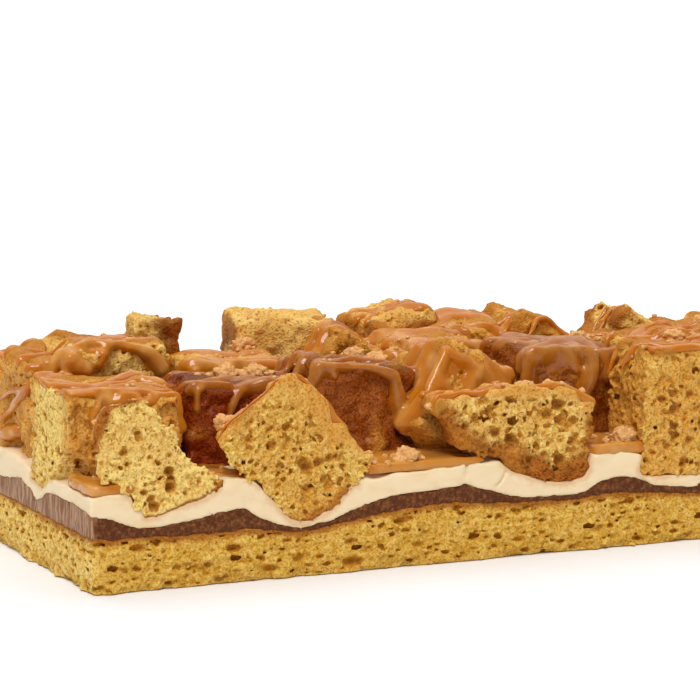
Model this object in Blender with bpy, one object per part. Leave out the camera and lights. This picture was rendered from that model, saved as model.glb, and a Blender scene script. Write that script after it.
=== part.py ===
"""A strip of speculoos cake: sponge base, dark filling, cream, and torn sponge chunks under caramel.

Everything is in metres. The strip lies on Z = 0 with its length along X and its front face towards -Y.
The places in the tables are millimetres from the left end, the front face and the underside of the strip.
"""

import math
from dataclasses import dataclass

import bmesh
import bpy
import numpy as np
from mathutils import Euler, Vector, noise
from mathutils.bvhtree import BVHTree
from mathutils.geometry import delaunay_2d_cdt

MM = 0.001

# Driving sizes of the strip
LENGTH = 285 * MM
DEPTH = 110 * MM
BASE_LEVEL = 17.8 * MM
FILLING_LEVEL = 24 * MM
CREAM_LEVEL = 32 * MM
SOCKET_TOP = 40 * MM

# Layers where a chunk presses into them
CREAM_LEAST = 1.8 * MM
FILLING_LEAST = 1.0 * MM
PRESS_WIDTH = 47 * MM
PRESS_REACH = 24 * MM

# Clearances between pieces that touch
GAP = 0.3 * MM
GROWTH = 0.5 * MM

# Relief
CHUNK_SEGMENTS = 3
CHUNK_ROUNDNESS = 0.12
CRAG_HEIGHT = 1.1 * MM
SUNK_LEVEL = 27 * MM
BARE_LEVEL = 36 * MM
CRAG_WIDTH = 9 * MM
TEAR_ROUGHNESS = 1.6 * MM
TEAR_WIDTH = CRAG_WIDTH / 1.7
CREAM_WAVE = 0.5 * MM
CREAM_WAVE_LENGTH = 22 * MM
BASE_WAVE = 0.9 * MM
BASE_WAVE_LENGTH = 170 * MM
BASE_CREST = 117 * MM
BOTTOM_CRUMBLE = 0.8 * MM

# Places beside a point where the three parts of its noise vector are read
NOISE_SHIFTS = (Vector((0, 0, 0)), Vector((31.4, 17.2, 5.9)), Vector((11.3, 47.1, 23.7)))

# Faces nearer to flat than this are joined, and points nearer than this are one
FLAT_ANGLE = math.radians(2)
MERGE = 0.0001 * MM

# A join leaves edges as short as this, which are closed up
SLIVER = 0.04 * MM

# Spacing of the layers' points
RIM_STEP = 6 * MM
INNER_STEP = 12 * MM
FIELD_STEP = 2 * MM
RIM_INSET = 0.2 * MM

# Where the layers' tops bend down, over this height the corner is rounded
BEND = 1.5 * MM

# Rays that look for a surface start this far above or below the table
FAR = 100 * MM

# Caramel bands that are fused to what they lie on
STRAND_RADIUS = 1.7 * MM
STRAND_SIDES = 5
STRAND_STEP = 9 * MM
STRAND_TAPER = 0.7
STRAND_MARGIN = 0.04
DRIP_LENGTH = 5 * MM
DRIP_SLANT = 0.8 * MM

# Caramel puddles
PUDDLE_HEIGHT = 1.3 * MM
PUDDLE_GRAIN = 1.3
PUDDLE_UNEVENNESS = 0.18

# Biscuit crumbs, as shares of their radius
CRUMB_GRAIN = 1.3
CRUMB_UNEVENNESS = 0.35
CRUMB_FLATNESS = 0.75
CRUMB_LIFT = 0.3


@dataclass(frozen=True)
class Chunk:
    """A cube of sponge: its middle and sides in mm, its turn in degrees, and the corners torn off it.

    A tear is a direction in the strip's axes and the distance in mm that is left of the chunk that way.
    """

    name: str
    middle: tuple
    sides: tuple
    turn: tuple = (0, 0, 0)
    tears: tuple = ()
    bands: int = 1


FRONT_1_TEARS = (((0.75, 0, 0.66), 11.5), ((-0.75, 0, -0.66), 14.7))
CHUNKS = (
    # The front row, cut flush with the front face
    Chunk("front_1", (22, 4.5, 41), (32, 15, 35), (0, -21, 0), FRONT_1_TEARS),
    Chunk("front_2", (68, 4.5, 38.8), (32, 15, 34.5), (0, -37, 0)),
    Chunk("front_3", (141.5, 6, 37.2), (54, 18, 30), (0, 2.5, 0), (((-0.445, 0, -0.895), 8.4),)),
    Chunk("front_4", (202, 11, 43), (33, 28, 38), (0, 3, 0)),
    Chunk("front_5", (238, 12, 41), (29, 31, 33), (0, 31, 0)),
    Chunk("front_6", (270, 13, 41), (30, 30, 34), (0, -12, 0)),
    # The second row
    Chunk("second_1", (19, 37, 41), (46, 34, 33), (3, 2, -2), (((-0.5, -0.5, -0.7), 15.7),), 2),
    Chunk("second_2", (66, 38, 38.5), (32, 33, 33), (0, 3, -6), (), 2),
    Chunk("second_3", (101, 41, 42.5), (38, 32, 32), (-4, 8, 0), (), 2),
    Chunk("second_4", (130, 34, 43), (31, 32, 33), (-18, 30, 6)),
    Chunk("second_5", (173, 42, 43), (35, 32, 34), (0, 3, 5), (), 2),
    Chunk("second_6", (222, 49, 42), (34, 33, 34), (5, -4, 8)),
    Chunk("second_7", (255, 48, 43), (30, 32, 34), (-20, 8, 12)),
    Chunk("second_8", (282, 52, 42), (26, 34, 33), (0, 6, 3)),
    # The third row
    Chunk("third_1", (-7, 74, 46), (30, 32, 33), (0, -3, 5)),
    Chunk("third_2", (29, 73, 48), (38, 30, 36), (0, 2, 3), (((-0.6, 0, 0.8), 19),)),
    Chunk("third_3", (73, 75, 42), (34, 28, 31), (0, 2, -4)),
    Chunk("third_4", (116, 76, 45.5), (32, 28, 30), (0, 31.6, 0)),
    Chunk("third_5", (147, 76, 44), (30, 28, 32), (6, -5, 8)),
    Chunk("third_6", (186, 75, 40), (34, 28, 32), (-8, 4, -6)),
    Chunk("third_7", (217, 80, 40), (24, 24, 30), (0, -8, 4)),
    Chunk("third_8", (247, 77, 39), (28, 30, 32), (10, -20, 6)),
    Chunk("third_9", (275, 78, 42), (28, 30, 33), (0, 5, -8)),
    # The back row
    Chunk("back_1", (19, 99, 42), (33, 26, 32), (0, 4, 5)),
    Chunk("back_2", (57.5, 99, 50), (17, 20, 38), (0, 0, 18), (((-0.7, 0, 0.7), 17),)),
    Chunk("back_3", (100, 96, 49), (32, 28, 35), (0, 3, 0)),
    Chunk("back_4", (144, 98, 48), (23, 26, 36), (0, -10, 15)),
    Chunk("back_5", (166, 99, 45), (28, 24, 32), (6, 4, 0)),
    Chunk("back_6", (192, 97, 43), (32, 28, 31), (0, 28, 0)),
    Chunk("back_7", (228, 98, 44), (26, 26, 30), (0, 35, 0)),
    Chunk("back_8", (257, 100, 38), (28, 24, 30), (8, 5, 6)),
    Chunk("back_9", (280, 99, 41), (28, 26, 32), (0, -10, 4)),
)

# Caramel strands run along the strip: depth at the left end, two sways (mm, wave length mm, phase)
STRANDS = (
    (13, ((3, 74, 0.4), (2, 31, 1.7))),
    (22, ((3, 88, 2.1), (2, 27, 0.2))),
    (36, ((4, 96, 1.0), (2, 35, 2.6))),
    (46, ((4, 82, 3.9), (2, 29, 0.9))),
    (55, ((3, 67, 5.2), (2, 33, 4.1))),
    (68, ((4, 90, 0.1), (2, 30, 3.3))),
    (80, ((3, 71, 2.9), (2, 37, 5.5))),
    (92, ((3, 85, 4.4), (2, 28, 1.2))),
    (101, ((2, 78, 1.9), (2, 34, 2.2))),
)

# Puddles of caramel on the cream: middle and half sides in mm
PUDDLES = (
    ((7, 11), (7, 9)),
    ((103, 14), (13, 16)),
    ((178, 14), (9, 15)),
    ((46, 18), (6, 10)),
    ((222, 22), (8, 12)),
    ((76, 97), (9, 9)),
)

# Biscuit crumbs as large as berries: middle and radius in mm
CRUMBS = (
    ((99, 6), 2.6),
    ((108, 11), 4.2),
    ((47, 9), 3.0),
    ((176, 12), 4.8),
    ((152, 14), 4.4),
    ((163, 17), 3.8),
    ((143, 9), 3.2),
    ((62, 45), 3.6),
    ((70, 41), 4.2),
    ((103, 66), 4.0),
    ((118, 60), 3.4),
    ((206, 19), 3.2),
    ((84, 84), 3.6),
    ((240, 60), 3.8),
    ((263, 30), 3.6),
)

# Colours, linear, with roughness
SPONGE = ((0.72, 0.47, 0.16, 1), 0.85)
CHUNK_SPONGE = ((0.76, 0.52, 0.19, 1), 0.85)
FILLING = ((0.12, 0.05, 0.03, 1), 0.55)
CREAM = ((0.93, 0.82, 0.58, 1), 0.5)


def rough_vector(point):
    """Gives smooth noise at a point as a vector."""
    return Vector([noise.noise(point + shift) for shift in NOISE_SHIFTS])


def place(x, y, z=0.0):
    """Turns millimetres from the strip's left end, front face and underside into metres from its middle."""
    return Vector((x * MM - LENGTH / 2, y * MM - DEPTH / 2, z * MM))


def material(name, look):
    """Makes a plain material from a colour and a roughness."""
    made = bpy.data.materials.new(name)
    made.use_nodes = True
    shader = made.node_tree.nodes["Principled BSDF"]
    shader.inputs["Base Color"].default_value = look[0]
    shader.inputs["Roughness"].default_value = look[1]
    shader.inputs["Metallic"].default_value = 0.0
    return made


def add_object(name, mesh):
    """Puts a mesh into the scene as an object."""
    made = bpy.data.objects.new(name, mesh)
    bpy.context.scene.collection.objects.link(made)
    return made


def mesh_from(name, bm):
    """Turns a bmesh into a mesh, with its faces pointing out."""
    bmesh.ops.recalc_face_normals(bm, faces=bm.faces)
    mesh = bpy.data.meshes.new(name)
    bm.to_mesh(mesh)
    bm.free()
    return mesh


def apply_modifiers(obj):
    """Replaces an object's mesh by what its modifiers make of it."""
    evaluated = obj.evaluated_get(bpy.context.evaluated_depsgraph_get())
    made = bpy.data.meshes.new_from_object(evaluated)
    old = obj.data
    obj.modifiers.clear()
    obj.data = made
    bpy.data.meshes.remove(old)


def combine(obj, tools, operation):
    """Joins an object with a group of tool objects or cuts it by them, and removes the tools.

    The solver is MANIFOLD, because EXACT leaves open edges where these rough bodies cross.
    """
    if not tools:
        return
    group = bpy.data.collections.new("tools")
    bpy.context.scene.collection.children.link(group)
    for tool in tools:
        group.objects.link(tool)
    modifier = obj.modifiers.new("combine", "BOOLEAN")
    modifier.operation = operation
    modifier.solver = "MANIFOLD"
    modifier.operand_type = "COLLECTION"
    modifier.collection = group
    bpy.context.view_layer.update()
    apply_modifiers(obj)
    for tool in tools:
        mesh = tool.data
        bpy.data.objects.remove(tool)
        bpy.data.meshes.remove(mesh)
    bpy.data.collections.remove(group)


def keep_largest_body(obj):
    """Drops loose scraps that a cut left beside the main body, and hollows that a join sealed."""
    bm = bmesh.new()
    bm.from_mesh(obj.data)
    bmesh.ops.triangulate(bm, faces=bm.faces)
    unseen = set(bm.faces)
    bodies = []
    while unseen:
        body = []
        front = [unseen.pop()]
        while front:
            face = front.pop()
            body.append(face)
            for edge in face.edges:
                for other in edge.link_faces:
                    if other in unseen:
                        unseen.remove(other)
                        front.append(other)
        bodies.append(body)
    bodies.sort(key=len)
    for scrap in bodies[:-1]:
        bmesh.ops.delete(bm, geom=scrap, context="FACES")
    bm.to_mesh(obj.data)
    bm.free()


def can_close(edge):
    """Tells whether an edge is short, and whether the surface stays whole without it."""
    if edge.calc_length() > SLIVER:
        return False
    around = [{other.other_vert(vertex) for other in vertex.link_edges} for vertex in edge.verts]
    return len(around[0] & around[1]) == 2


def close_slivers(obj):
    """Closes up the shortest edges of a triangulated object."""
    bm = bmesh.new()
    bm.from_mesh(obj.data)
    while True:
        short = next((edge for edge in bm.edges if can_close(edge)), None)
        if short is None:
            break
        bmesh.ops.pointmerge(bm, verts=list(short.verts), merge_co=short.verts[0].co)
    bm.to_mesh(obj.data)
    bm.free()


def grown_copy(obj, distance=GROWTH):
    """Makes a copy of an object whose surface lies a little further out."""
    bm = bmesh.new()
    bm.from_mesh(obj.data)
    bm.normal_update()
    for vertex in bm.verts:
        sharpness = vertex.calc_shell_factor()
        vertex.co += vertex.normal * distance * min(sharpness, 2.0)
    return add_object("grown", mesh_from("grown", bm))


def socket(obj):
    """Makes the plain hollow that a chunk's lower half presses into the cream."""
    lower = bmesh.new()
    lower.from_mesh(obj.data)
    cut_flat(lower, [(Vector((0, 0, 1)), SOCKET_TOP)])
    bm = bmesh.new()
    for vertex in lower.verts:
        bm.verts.new(vertex.co)
    lower.free()
    hull = bmesh.ops.convex_hull(bm, input=bm.verts)
    spare = set(hull["geom_interior"] + hull["geom_unused"])
    corners = [item for item in spare if isinstance(item, bmesh.types.BMVert)]
    bmesh.ops.delete(bm, geom=corners, context="VERTS")
    bmesh.ops.dissolve_limit(bm, angle_limit=FLAT_ANGLE, verts=bm.verts, edges=bm.edges)
    bmesh.ops.triangulate(bm, faces=bm.faces)
    made = add_object("socket", mesh_from("socket", bm))
    grown = grown_copy(made)
    bpy.data.objects.remove(made)
    return grown


def cut_flat(bm, cuts):
    """Cuts a closed mesh by planes, each a normal and the distance along it that is kept."""
    for normal, kept in cuts:
        whole = list(bm.verts) + list(bm.edges) + list(bm.faces)
        foot = normal * kept
        bmesh.ops.bisect_plane(bm, geom=whole, dist=MERGE, plane_co=foot, plane_no=normal, clear_outer=True)
        rim = [edge for edge in bm.edges if len(edge.link_faces) == 1]
        bmesh.ops.holes_fill(bm, edges=rim, sides=0)


def cut_object(obj, cuts):
    """Cuts an object by planes, and tells whether anything is left of it."""
    bm = bmesh.new()
    bm.from_mesh(obj.data)
    cut_flat(bm, cuts)
    left = len(bm.faces)
    bmesh.ops.dissolve_limit(bm, angle_limit=FLAT_ANGLE, verts=bm.verts, edges=bm.edges)
    bmesh.ops.triangulate(bm, faces=bm.faces)
    bm.to_mesh(obj.data)
    bm.free()
    return left > 0


def points_of(obj):
    """Lists an object's points as an array."""
    return np.array([vertex.co for vertex in obj.data.vertices])


def parting_plane(first, second, axes):
    """Finds the plane that parts two chunks with the least loss.

    It gives how much the chunks cross, the plane's normal and its distance along it.
    """
    a = points_of(first)
    b = points_of(second)
    best = None
    for axis in axes:
        normal = np.array(axis)
        if normal @ (b.mean(0) - a.mean(0)) < 0:
            normal = -normal
        low = (b @ normal).min()
        high = (a @ normal).max()
        if best is None or high - low < best[0]:
            best = (high - low, Vector(normal), (high + low) / 2)
    return best


def strip_cuts():
    """Lists the four flat cuts that gave the strip its sides."""
    return [
        (Vector((1, 0, 0)), LENGTH / 2),
        (Vector((-1, 0, 0)), LENGTH / 2),
        (Vector((0, 1, 0)), DEPTH / 2),
        (Vector((0, -1, 0)), DEPTH / 2),
    ]


def neighbour_cuts(bodies):
    """Lists for each chunk the strip's cuts and the planes that keep it clear of its neighbours."""
    cuts = [strip_cuts() for _ in bodies]
    for i, first in enumerate(bodies):
        for j in range(i + 1, len(bodies)):
            axes = [Vector((1, 0, 0)), Vector((0, 1, 0)), Vector((0, 0, 1))]
            for chunk in (CHUNKS[i], CHUNKS[j]):
                axes += [row.normalized() for row in chunk_rotation(chunk).transposed()]
            crossing, normal, middle = parting_plane(first, bodies[j], axes)
            if crossing > -2 * STRAND_RADIUS:
                cuts[i].append((normal, middle - GAP / 2))
                cuts[j].append((-normal, -middle - GAP / 2))
    return cuts


def chunk_rotation(chunk):
    """Gives a chunk's turn as a matrix."""
    return Euler([math.radians(angle) for angle in chunk.turn]).to_matrix()


def tear(point, direction, kept, seed):
    """Moves a point of a chunk, seen from the chunk's middle, back to a rough torn face."""
    normal = Vector(direction).normalized()
    beyond = point.dot(normal) - kept
    if beyond <= 0:
        return point
    rough = noise.noise(point / TEAR_WIDTH + seed) * TEAR_ROUGHNESS
    return point - normal * (beyond - rough)


def chunk_body(chunk, index):
    """Makes one torn cube of sponge in its place."""
    seed = Vector((index * 7.31, index * 3.17, index * 5.73))
    rotation = chunk_rotation(chunk)
    half = Vector(chunk.sides) * MM / 2
    bm = bmesh.new()
    bmesh.ops.create_cube(bm, size=2.0)
    bmesh.ops.subdivide_edges(bm, edges=bm.edges, cuts=CHUNK_SEGMENTS - 1, use_grid_fill=True)
    for vertex in bm.verts:
        plain = Vector(vertex.co[axis] * half[axis] for axis in range(3))
        height = chunk.middle[2] * MM + (rotation @ plain).z
        shown = min(max((height - SUNK_LEVEL) / (BARE_LEVEL - SUNK_LEVEL), 0.0), 1.0)
        rounding = CHUNK_ROUNDNESS * (vertex.co.length_squared - 1) / 2
        rough = rough_vector(plain / CRAG_WIDTH + seed) * CRAG_HEIGHT
        point = rotation @ (plain + (rough - plain * rounding) * shown)
        for direction, kept in chunk.tears:
            point = tear(point, direction, kept * MM, seed)
        vertex.co = point + place(*chunk.middle)
    return add_object("sponge_chunk_" + chunk.name, mesh_from(chunk.name, bm))


def tube(points, radius, sides=STRAND_SIDES):
    """Makes a closed tube along points, with pointed round ends."""
    bm = bmesh.new()
    rings = []
    last = len(points) - 1
    for i, point in enumerate(points):
        along = (points[min(i + 1, last)] - points[max(i - 1, 0)]).normalized()
        across = along.cross(Vector((0, 0, 1)))
        if across.length < 0.2:
            across = along.cross(Vector((0, 1, 0)))
        across.normalize()
        upward = across.cross(along)
        size = radius * (STRAND_TAPER if i in (0, last) else 1.0)
        ring = []
        for side in range(sides):
            angle = 2 * math.pi * side / sides
            offset = across * math.cos(angle) + upward * math.sin(angle)
            ring.append(bm.verts.new(point + offset * size))
        rings.append(ring)
    for near, far in zip(rings, rings[1:]):
        for side in range(sides):
            following = (side + 1) % sides
            bm.faces.new((near[side], near[following], far[following], far[side]))
    bm.faces.new(rings[0])
    bm.faces.new(rings[-1])
    return mesh_from("tube", bm)


def strand_depth(strand, x):
    """Gives a strand's distance from the front face in mm at x mm from the left end."""
    depth, sways = strand
    return depth + sum(reach * math.sin(2 * math.pi * x / wave + phase) for reach, wave, phase in sways)


def band_points(strand, tree, low, high, floor):
    """Follows a strand over one chunk, from one of its edges to the other, and down both sides."""
    count = max(3, round((high - low) / STRAND_STEP))
    found = []
    for i in range(count + 1):
        x = low + (high - low) * (STRAND_MARGIN + (1 - 2 * STRAND_MARGIN) * i / count)
        left = (x + LENGTH / 2) / MM
        start = Vector((x, strand_depth(strand, left) * MM - DEPTH / 2, FAR))
        hit, _, _, _ = tree.ray_cast(start, Vector((0, 0, -1)))
        if hit is not None and hit.z > floor:
            found.append(hit)
    if len(found) < 3:
        return []
    drop = Vector((0, 0, -DRIP_LENGTH))
    outward = Vector((DRIP_SLANT, 0, 0))
    return [found[0] + drop - outward] + found + [found[-1] + drop + outward]


def chunk_bands(body, chunk):
    """Makes the caramel bands that lie on one chunk."""
    tree = BVHTree.FromObject(body, bpy.context.evaluated_depsgraph_get())
    xs = [v.co.x for v in body.data.vertices]
    floor = place(*chunk.middle).z
    middle = chunk.middle[1]
    nearest = sorted(STRANDS, key=lambda strand: abs(strand_depth(strand, chunk.middle[0]) - middle))
    bands = []
    for strand in nearest:
        points = band_points(strand, tree, min(xs), max(xs), floor)
        if points and len(bands) < chunk.bands:
            bands.append(add_object("band", tube(points, STRAND_RADIUS)))
    return bands


def crumb(point, radius, index):
    """Makes one rough crumb of biscuit, half sunk at a point."""
    bm = bmesh.new()
    bmesh.ops.create_icosphere(bm, subdivisions=1, radius=radius)
    for vertex in bm.verts:
        place_in_noise = vertex.co / radius * CRUMB_GRAIN + Vector((index, 0, 0))
        vertex.co += rough_vector(place_in_noise) * radius * CRUMB_UNEVENNESS
        vertex.co.z *= CRUMB_FLATNESS
        vertex.co += point + Vector((0, 0, radius * CRUMB_LIFT))
    return add_object("crumb", mesh_from("crumb", bm))


def crumbs_for(trees, wanted):
    """Makes the crumbs whose resting place is the wanted one of several surfaces."""
    made = []
    for index, ((x, y), radius) in enumerate(CRUMBS):
        start = place(x, y) + Vector((0, 0, FAR))
        best = None
        for owner, tree in enumerate(trees):
            hit, _, _, _ = tree.ray_cast(start, Vector((0, 0, -1)))
            if hit is not None and (best is None or hit.z > best[0].z):
                best = (hit, owner)
        if best and best[1] == wanted:
            made.append(crumb(best[0], radius * MM, index))
    return made


def puddle(middle, halves):
    """Makes one flat puddle of caramel on the cream."""
    bm = bmesh.new()
    bmesh.ops.create_icosphere(bm, subdivisions=2, radius=1.0)
    for vertex in bm.verts:
        place_in_noise = vertex.co * PUDDLE_GRAIN + Vector((middle[0], middle[1], 0))
        reach = 1 + PUDDLE_UNEVENNESS * noise.noise(place_in_noise)
        vertex.co.x *= halves[0] * MM * reach
        vertex.co.y *= halves[1] * MM * reach
        vertex.co.z *= PUDDLE_HEIGHT
    bmesh.ops.translate(bm, vec=place(middle[0], middle[1]) + Vector((0, 0, CREAM_LEVEL)), verts=bm.verts)
    cut_flat(bm, strip_cuts())
    return add_object("puddle", mesh_from("puddle", bm))


class PressField:
    """The height to which the layers are free to rise under the chunks, over the whole strip."""

    def __init__(self, bodies):
        columns = round(LENGTH / FIELD_STEP) + 1
        rows = round(DEPTH / FIELD_STEP) + 1
        self.low = np.full((columns, rows), CREAM_LEVEL * 2)
        for body in bodies:
            self.lower_by(body)
        self.low = self.spread(self.low)

    def lower_by(self, body):
        """Lowers the field to one chunk's underside."""
        tree = BVHTree.FromObject(body, bpy.context.evaluated_depsgraph_get())
        for column in range(self.low.shape[0]):
            for row in range(self.low.shape[1]):
                x = max(min(column * FIELD_STEP, LENGTH - RIM_INSET), RIM_INSET) - LENGTH / 2
                y = max(min(row * FIELD_STEP, DEPTH - RIM_INSET), RIM_INSET) - DEPTH / 2
                hit, _, _, _ = tree.ray_cast(Vector((x, y, -FAR)), Vector((0, 0, 1)), FAR + SOCKET_TOP)
                if hit is not None:
                    self.low[column, row] = min(self.low[column, row], hit.z)

    def spread(self, field):
        """Lets each low place pull its surroundings down into a bowl."""
        reach = round(PRESS_REACH / FIELD_STEP)
        padded = np.pad(field, reach, constant_values=CREAM_LEVEL * 2)
        result = field.copy()
        for i in range(-reach, reach + 1):
            for j in range(-reach, reach + 1):
                away = math.hypot(i, j) * FIELD_STEP
                if away > PRESS_REACH:
                    continue
                rise = away * away / PRESS_WIDTH
                shifted = padded[reach + i: reach + i + field.shape[0], reach + j: reach + j + field.shape[1]]
                result = np.minimum(result, shifted + rise)
        return result

    def at(self, x, y):
        """Reads the field at a place in metres."""
        u = min(max((x + LENGTH / 2) / FIELD_STEP, 0), self.low.shape[0] - 1.001)
        v = min(max((y + DEPTH / 2) / FIELD_STEP, 0), self.low.shape[1] - 1.001)
        i = int(u)
        j = int(v)
        near = self.low[i, j] * (1 - u + i) + self.low[i + 1, j] * (u - i)
        far = self.low[i, j + 1] * (1 - u + i) + self.low[i + 1, j + 1] * (u - i)
        return near * (1 - v + j) + far * (v - j)


def soft_least(first, second):
    """Gives the lesser of two heights, with the corner between them rounded."""
    share = max(BEND - abs(first - second), 0.0) / BEND
    return min(first, second) - share * share * BEND / 4


def rim_points():
    """Lists the strip's outline, point by point."""
    corners = ((-1, -1), (1, -1), (1, 1), (-1, 1))
    points = []
    for (ax, ay), (bx, by) in zip(corners, corners[1:] + corners[:1]):
        side = Vector(((bx - ax) * LENGTH / 2, (by - ay) * DEPTH / 2, 0))
        count = round(side.length / RIM_STEP)
        for i in range(count):
            points.append(Vector((ax * LENGTH / 2, ay * DEPTH / 2, 0)) + side * i / count)
    return points


def lowest_points(bodies):
    """Lists the places inside the outline where chunks reach deepest."""
    points = []
    for body in bodies:
        low = min((vertex.co for vertex in body.data.vertices), key=lambda co: co.z)
        if abs(low.x) < LENGTH / 2 - RIM_STEP / 2 and abs(low.y) < DEPTH / 2 - RIM_STEP / 2:
            points.append(Vector((low.x, low.y, 0)))
    return points


def inner_points(deepest):
    """Lists the points inside the outline: the deepest places, and a staggered grid around them."""
    points = list(deepest)
    rows = round(DEPTH / INNER_STEP)
    columns = round(LENGTH / INNER_STEP)
    for row in range(1, rows):
        for column in range(1, columns):
            x = (column + 0.5 * (row % 2) - 0.25) / columns
            point = Vector(((x - 0.5) * LENGTH, (row / rows - 0.5) * DEPTH, 0))
            if all((point - other).length > INNER_STEP / 3 for other in deepest):
                points.append(point)
    return points


def pulled_in(point, distance):
    """Moves a point of the outline towards the middle of the strip."""
    x = math.copysign(max(abs(point.x) - distance, 0), point.x) if abs(point.x) > LENGTH / 2 - MM else point.x
    y = math.copysign(max(abs(point.y) - distance, 0), point.y) if abs(point.y) > DEPTH / 2 - MM else point.y
    return Vector((x, y, 0))


def sheet(bm, inner, height, crumble=0.0):
    """Adds a sheet over the strip's outline to a mesh, and gives its rim."""
    rim = rim_points()
    flat = [v.to_2d() for v in rim + inner]
    outline = list(range(len(rim)))
    verts, _, faces, _, _, _ = delaunay_2d_cdt(flat, [], [outline], 1, MERGE)
    made = []
    for index, point in enumerate(verts):
        place_there = point.to_3d()
        if index < len(rim):
            rough = 0.5 + 0.5 * noise.noise(place_there / CRAG_WIDTH)
            place_there = pulled_in(place_there, crumble * rough)
        made.append(bm.verts.new((place_there.x, place_there.y, height(point.x, point.y))))
    for face in faces:
        bm.faces.new([made[i] for i in face])
    return made[:len(rim)]


def layer(name, inner, bottom, top, crumble=0.0):
    """Makes a layer between two height functions of the place."""
    bm = bmesh.new()
    upper = sheet(bm, inner, top)
    lower = sheet(bm, inner if bottom else [], bottom or (lambda x, y: 0.0), crumble)
    for i, corner in enumerate(upper):
        j = (i + 1) % len(upper)
        bm.faces.new((corner, lower[i], lower[j], upper[j]))
    bmesh.ops.triangulate(bm, faces=bm.faces)
    return add_object(name, mesh_from(name, bm))


def filling_top(field, x, y):
    """Gives the top of the dark filling, pressed down under the chunks."""
    return soft_least(FILLING_LEVEL, field.at(x, y) - CREAM_LEAST)


def base_top(field, x, y):
    """Gives the top of the sponge base, dented where a chunk presses hardest."""
    from_crest = x + LENGTH / 2 - BASE_CREST
    free = BASE_LEVEL + BASE_WAVE * math.cos(2 * math.pi * from_crest / BASE_WAVE_LENGTH)
    return soft_least(free, filling_top(field, x, y) - FILLING_LEAST - GAP)


def cream_top(x, y):
    """Gives the top of the cream between the chunks."""
    return CREAM_LEVEL + CREAM_WAVE * noise.noise(Vector((x, y, 0)) / CREAM_WAVE_LENGTH)


def build_chunks():
    """Makes the heap: each chunk with its bands and crumbs, clear of its neighbours."""
    bodies = [chunk_body(chunk, index) for index, chunk in enumerate(CHUNKS)]
    cuts = neighbour_cuts(bodies)
    for body, planes in zip(bodies, cuts):
        cut_object(body, planes)
    depsgraph = bpy.context.evaluated_depsgraph_get()
    trees = [BVHTree.FromObject(body, depsgraph) for body in bodies]
    for index, (chunk, body) in enumerate(zip(CHUNKS, bodies)):
        toppings = chunk_bands(body, chunk) + crumbs_for(trees, index)
        combine(body, [topping for topping in toppings if cut_object(topping, cuts[index])], "UNION")
        keep_largest_body(body)
        close_slivers(body)
    return bodies, trees


def build_layers(bodies, trees):
    """Makes the base, the filling and the cream under and round the chunks."""
    field = PressField(bodies)
    inner = inner_points(lowest_points(bodies))
    base = layer("sponge_base", inner, None, lambda x, y: base_top(field, x, y), BOTTOM_CRUMBLE)
    filling = layer(
        "dark_filling",
        inner,
        lambda x, y: base_top(field, x, y) + GAP,
        lambda x, y: filling_top(field, x, y),
    )
    cream = layer("cream", inner, lambda x, y: filling_top(field, x, y) + GAP, cream_top)
    puddles = [puddle(middle, halves) for middle, halves in PUDDLES]
    cream_tree = BVHTree.FromObject(cream, bpy.context.evaluated_depsgraph_get())
    crumbs = crumbs_for(trees + [cream_tree], len(trees))
    combine(cream, puddles + crumbs, "UNION")
    combine(cream, [socket(body) for body in bodies], "DIFFERENCE")
    keep_largest_body(cream)
    return base, filling, cream


def main():
    for old in list(bpy.data.objects):
        bpy.data.objects.remove(old)
    bodies, trees = build_chunks()
    base, filling, cream = build_layers(bodies, trees)
    base.data.materials.append(material("base_sponge", SPONGE))
    filling.data.materials.append(material("dark_filling", FILLING))
    cream.data.materials.append(material("cream", CREAM))
    for body in bodies:
        body.data.materials.clear()
        body.data.materials.append(material(body.name, CHUNK_SPONGE))


main()
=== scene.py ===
"""Dresses a strip of speculoos cake: sponge, dark filling, cream, torn chunks, caramel and crumbs.

Shapes are worked out as distance fields in millimetres, measured from the strip's left end, its front face
and its underside: a field is negative inside a piece. Each field is turned into a mesh in metres in the frame
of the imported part.
"""

import logging
import math
from dataclasses import dataclass, field
from enum import Enum
from functools import cached_property, reduce
from typing import Optional, Sequence

import bmesh
import bpy
import numpy as np
import openvdb
from mathutils import Euler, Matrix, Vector, noise
from mathutils.bvhtree import BVHTree


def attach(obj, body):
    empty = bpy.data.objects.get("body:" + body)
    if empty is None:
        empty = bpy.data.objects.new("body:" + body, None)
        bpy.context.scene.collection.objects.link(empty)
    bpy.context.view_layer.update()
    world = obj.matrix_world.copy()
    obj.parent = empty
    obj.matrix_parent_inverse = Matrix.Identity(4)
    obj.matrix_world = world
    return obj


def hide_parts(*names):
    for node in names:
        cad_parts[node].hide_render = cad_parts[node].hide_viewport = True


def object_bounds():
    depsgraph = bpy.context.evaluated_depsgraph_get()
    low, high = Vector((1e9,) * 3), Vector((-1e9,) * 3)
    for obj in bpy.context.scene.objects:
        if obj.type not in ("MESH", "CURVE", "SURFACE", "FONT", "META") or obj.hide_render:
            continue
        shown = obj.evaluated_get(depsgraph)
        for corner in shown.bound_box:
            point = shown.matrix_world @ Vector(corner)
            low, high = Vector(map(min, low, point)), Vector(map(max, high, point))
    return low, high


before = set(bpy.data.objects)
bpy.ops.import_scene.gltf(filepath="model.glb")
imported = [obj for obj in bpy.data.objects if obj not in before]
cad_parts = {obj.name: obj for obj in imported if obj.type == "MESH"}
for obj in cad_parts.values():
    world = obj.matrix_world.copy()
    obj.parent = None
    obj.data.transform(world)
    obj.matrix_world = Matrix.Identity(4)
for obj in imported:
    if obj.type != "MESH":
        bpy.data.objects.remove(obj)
CAD_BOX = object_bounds()

LOG = logging.getLogger("speculoos_cake")

# Metres to a millimetre
MM = 0.001

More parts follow.
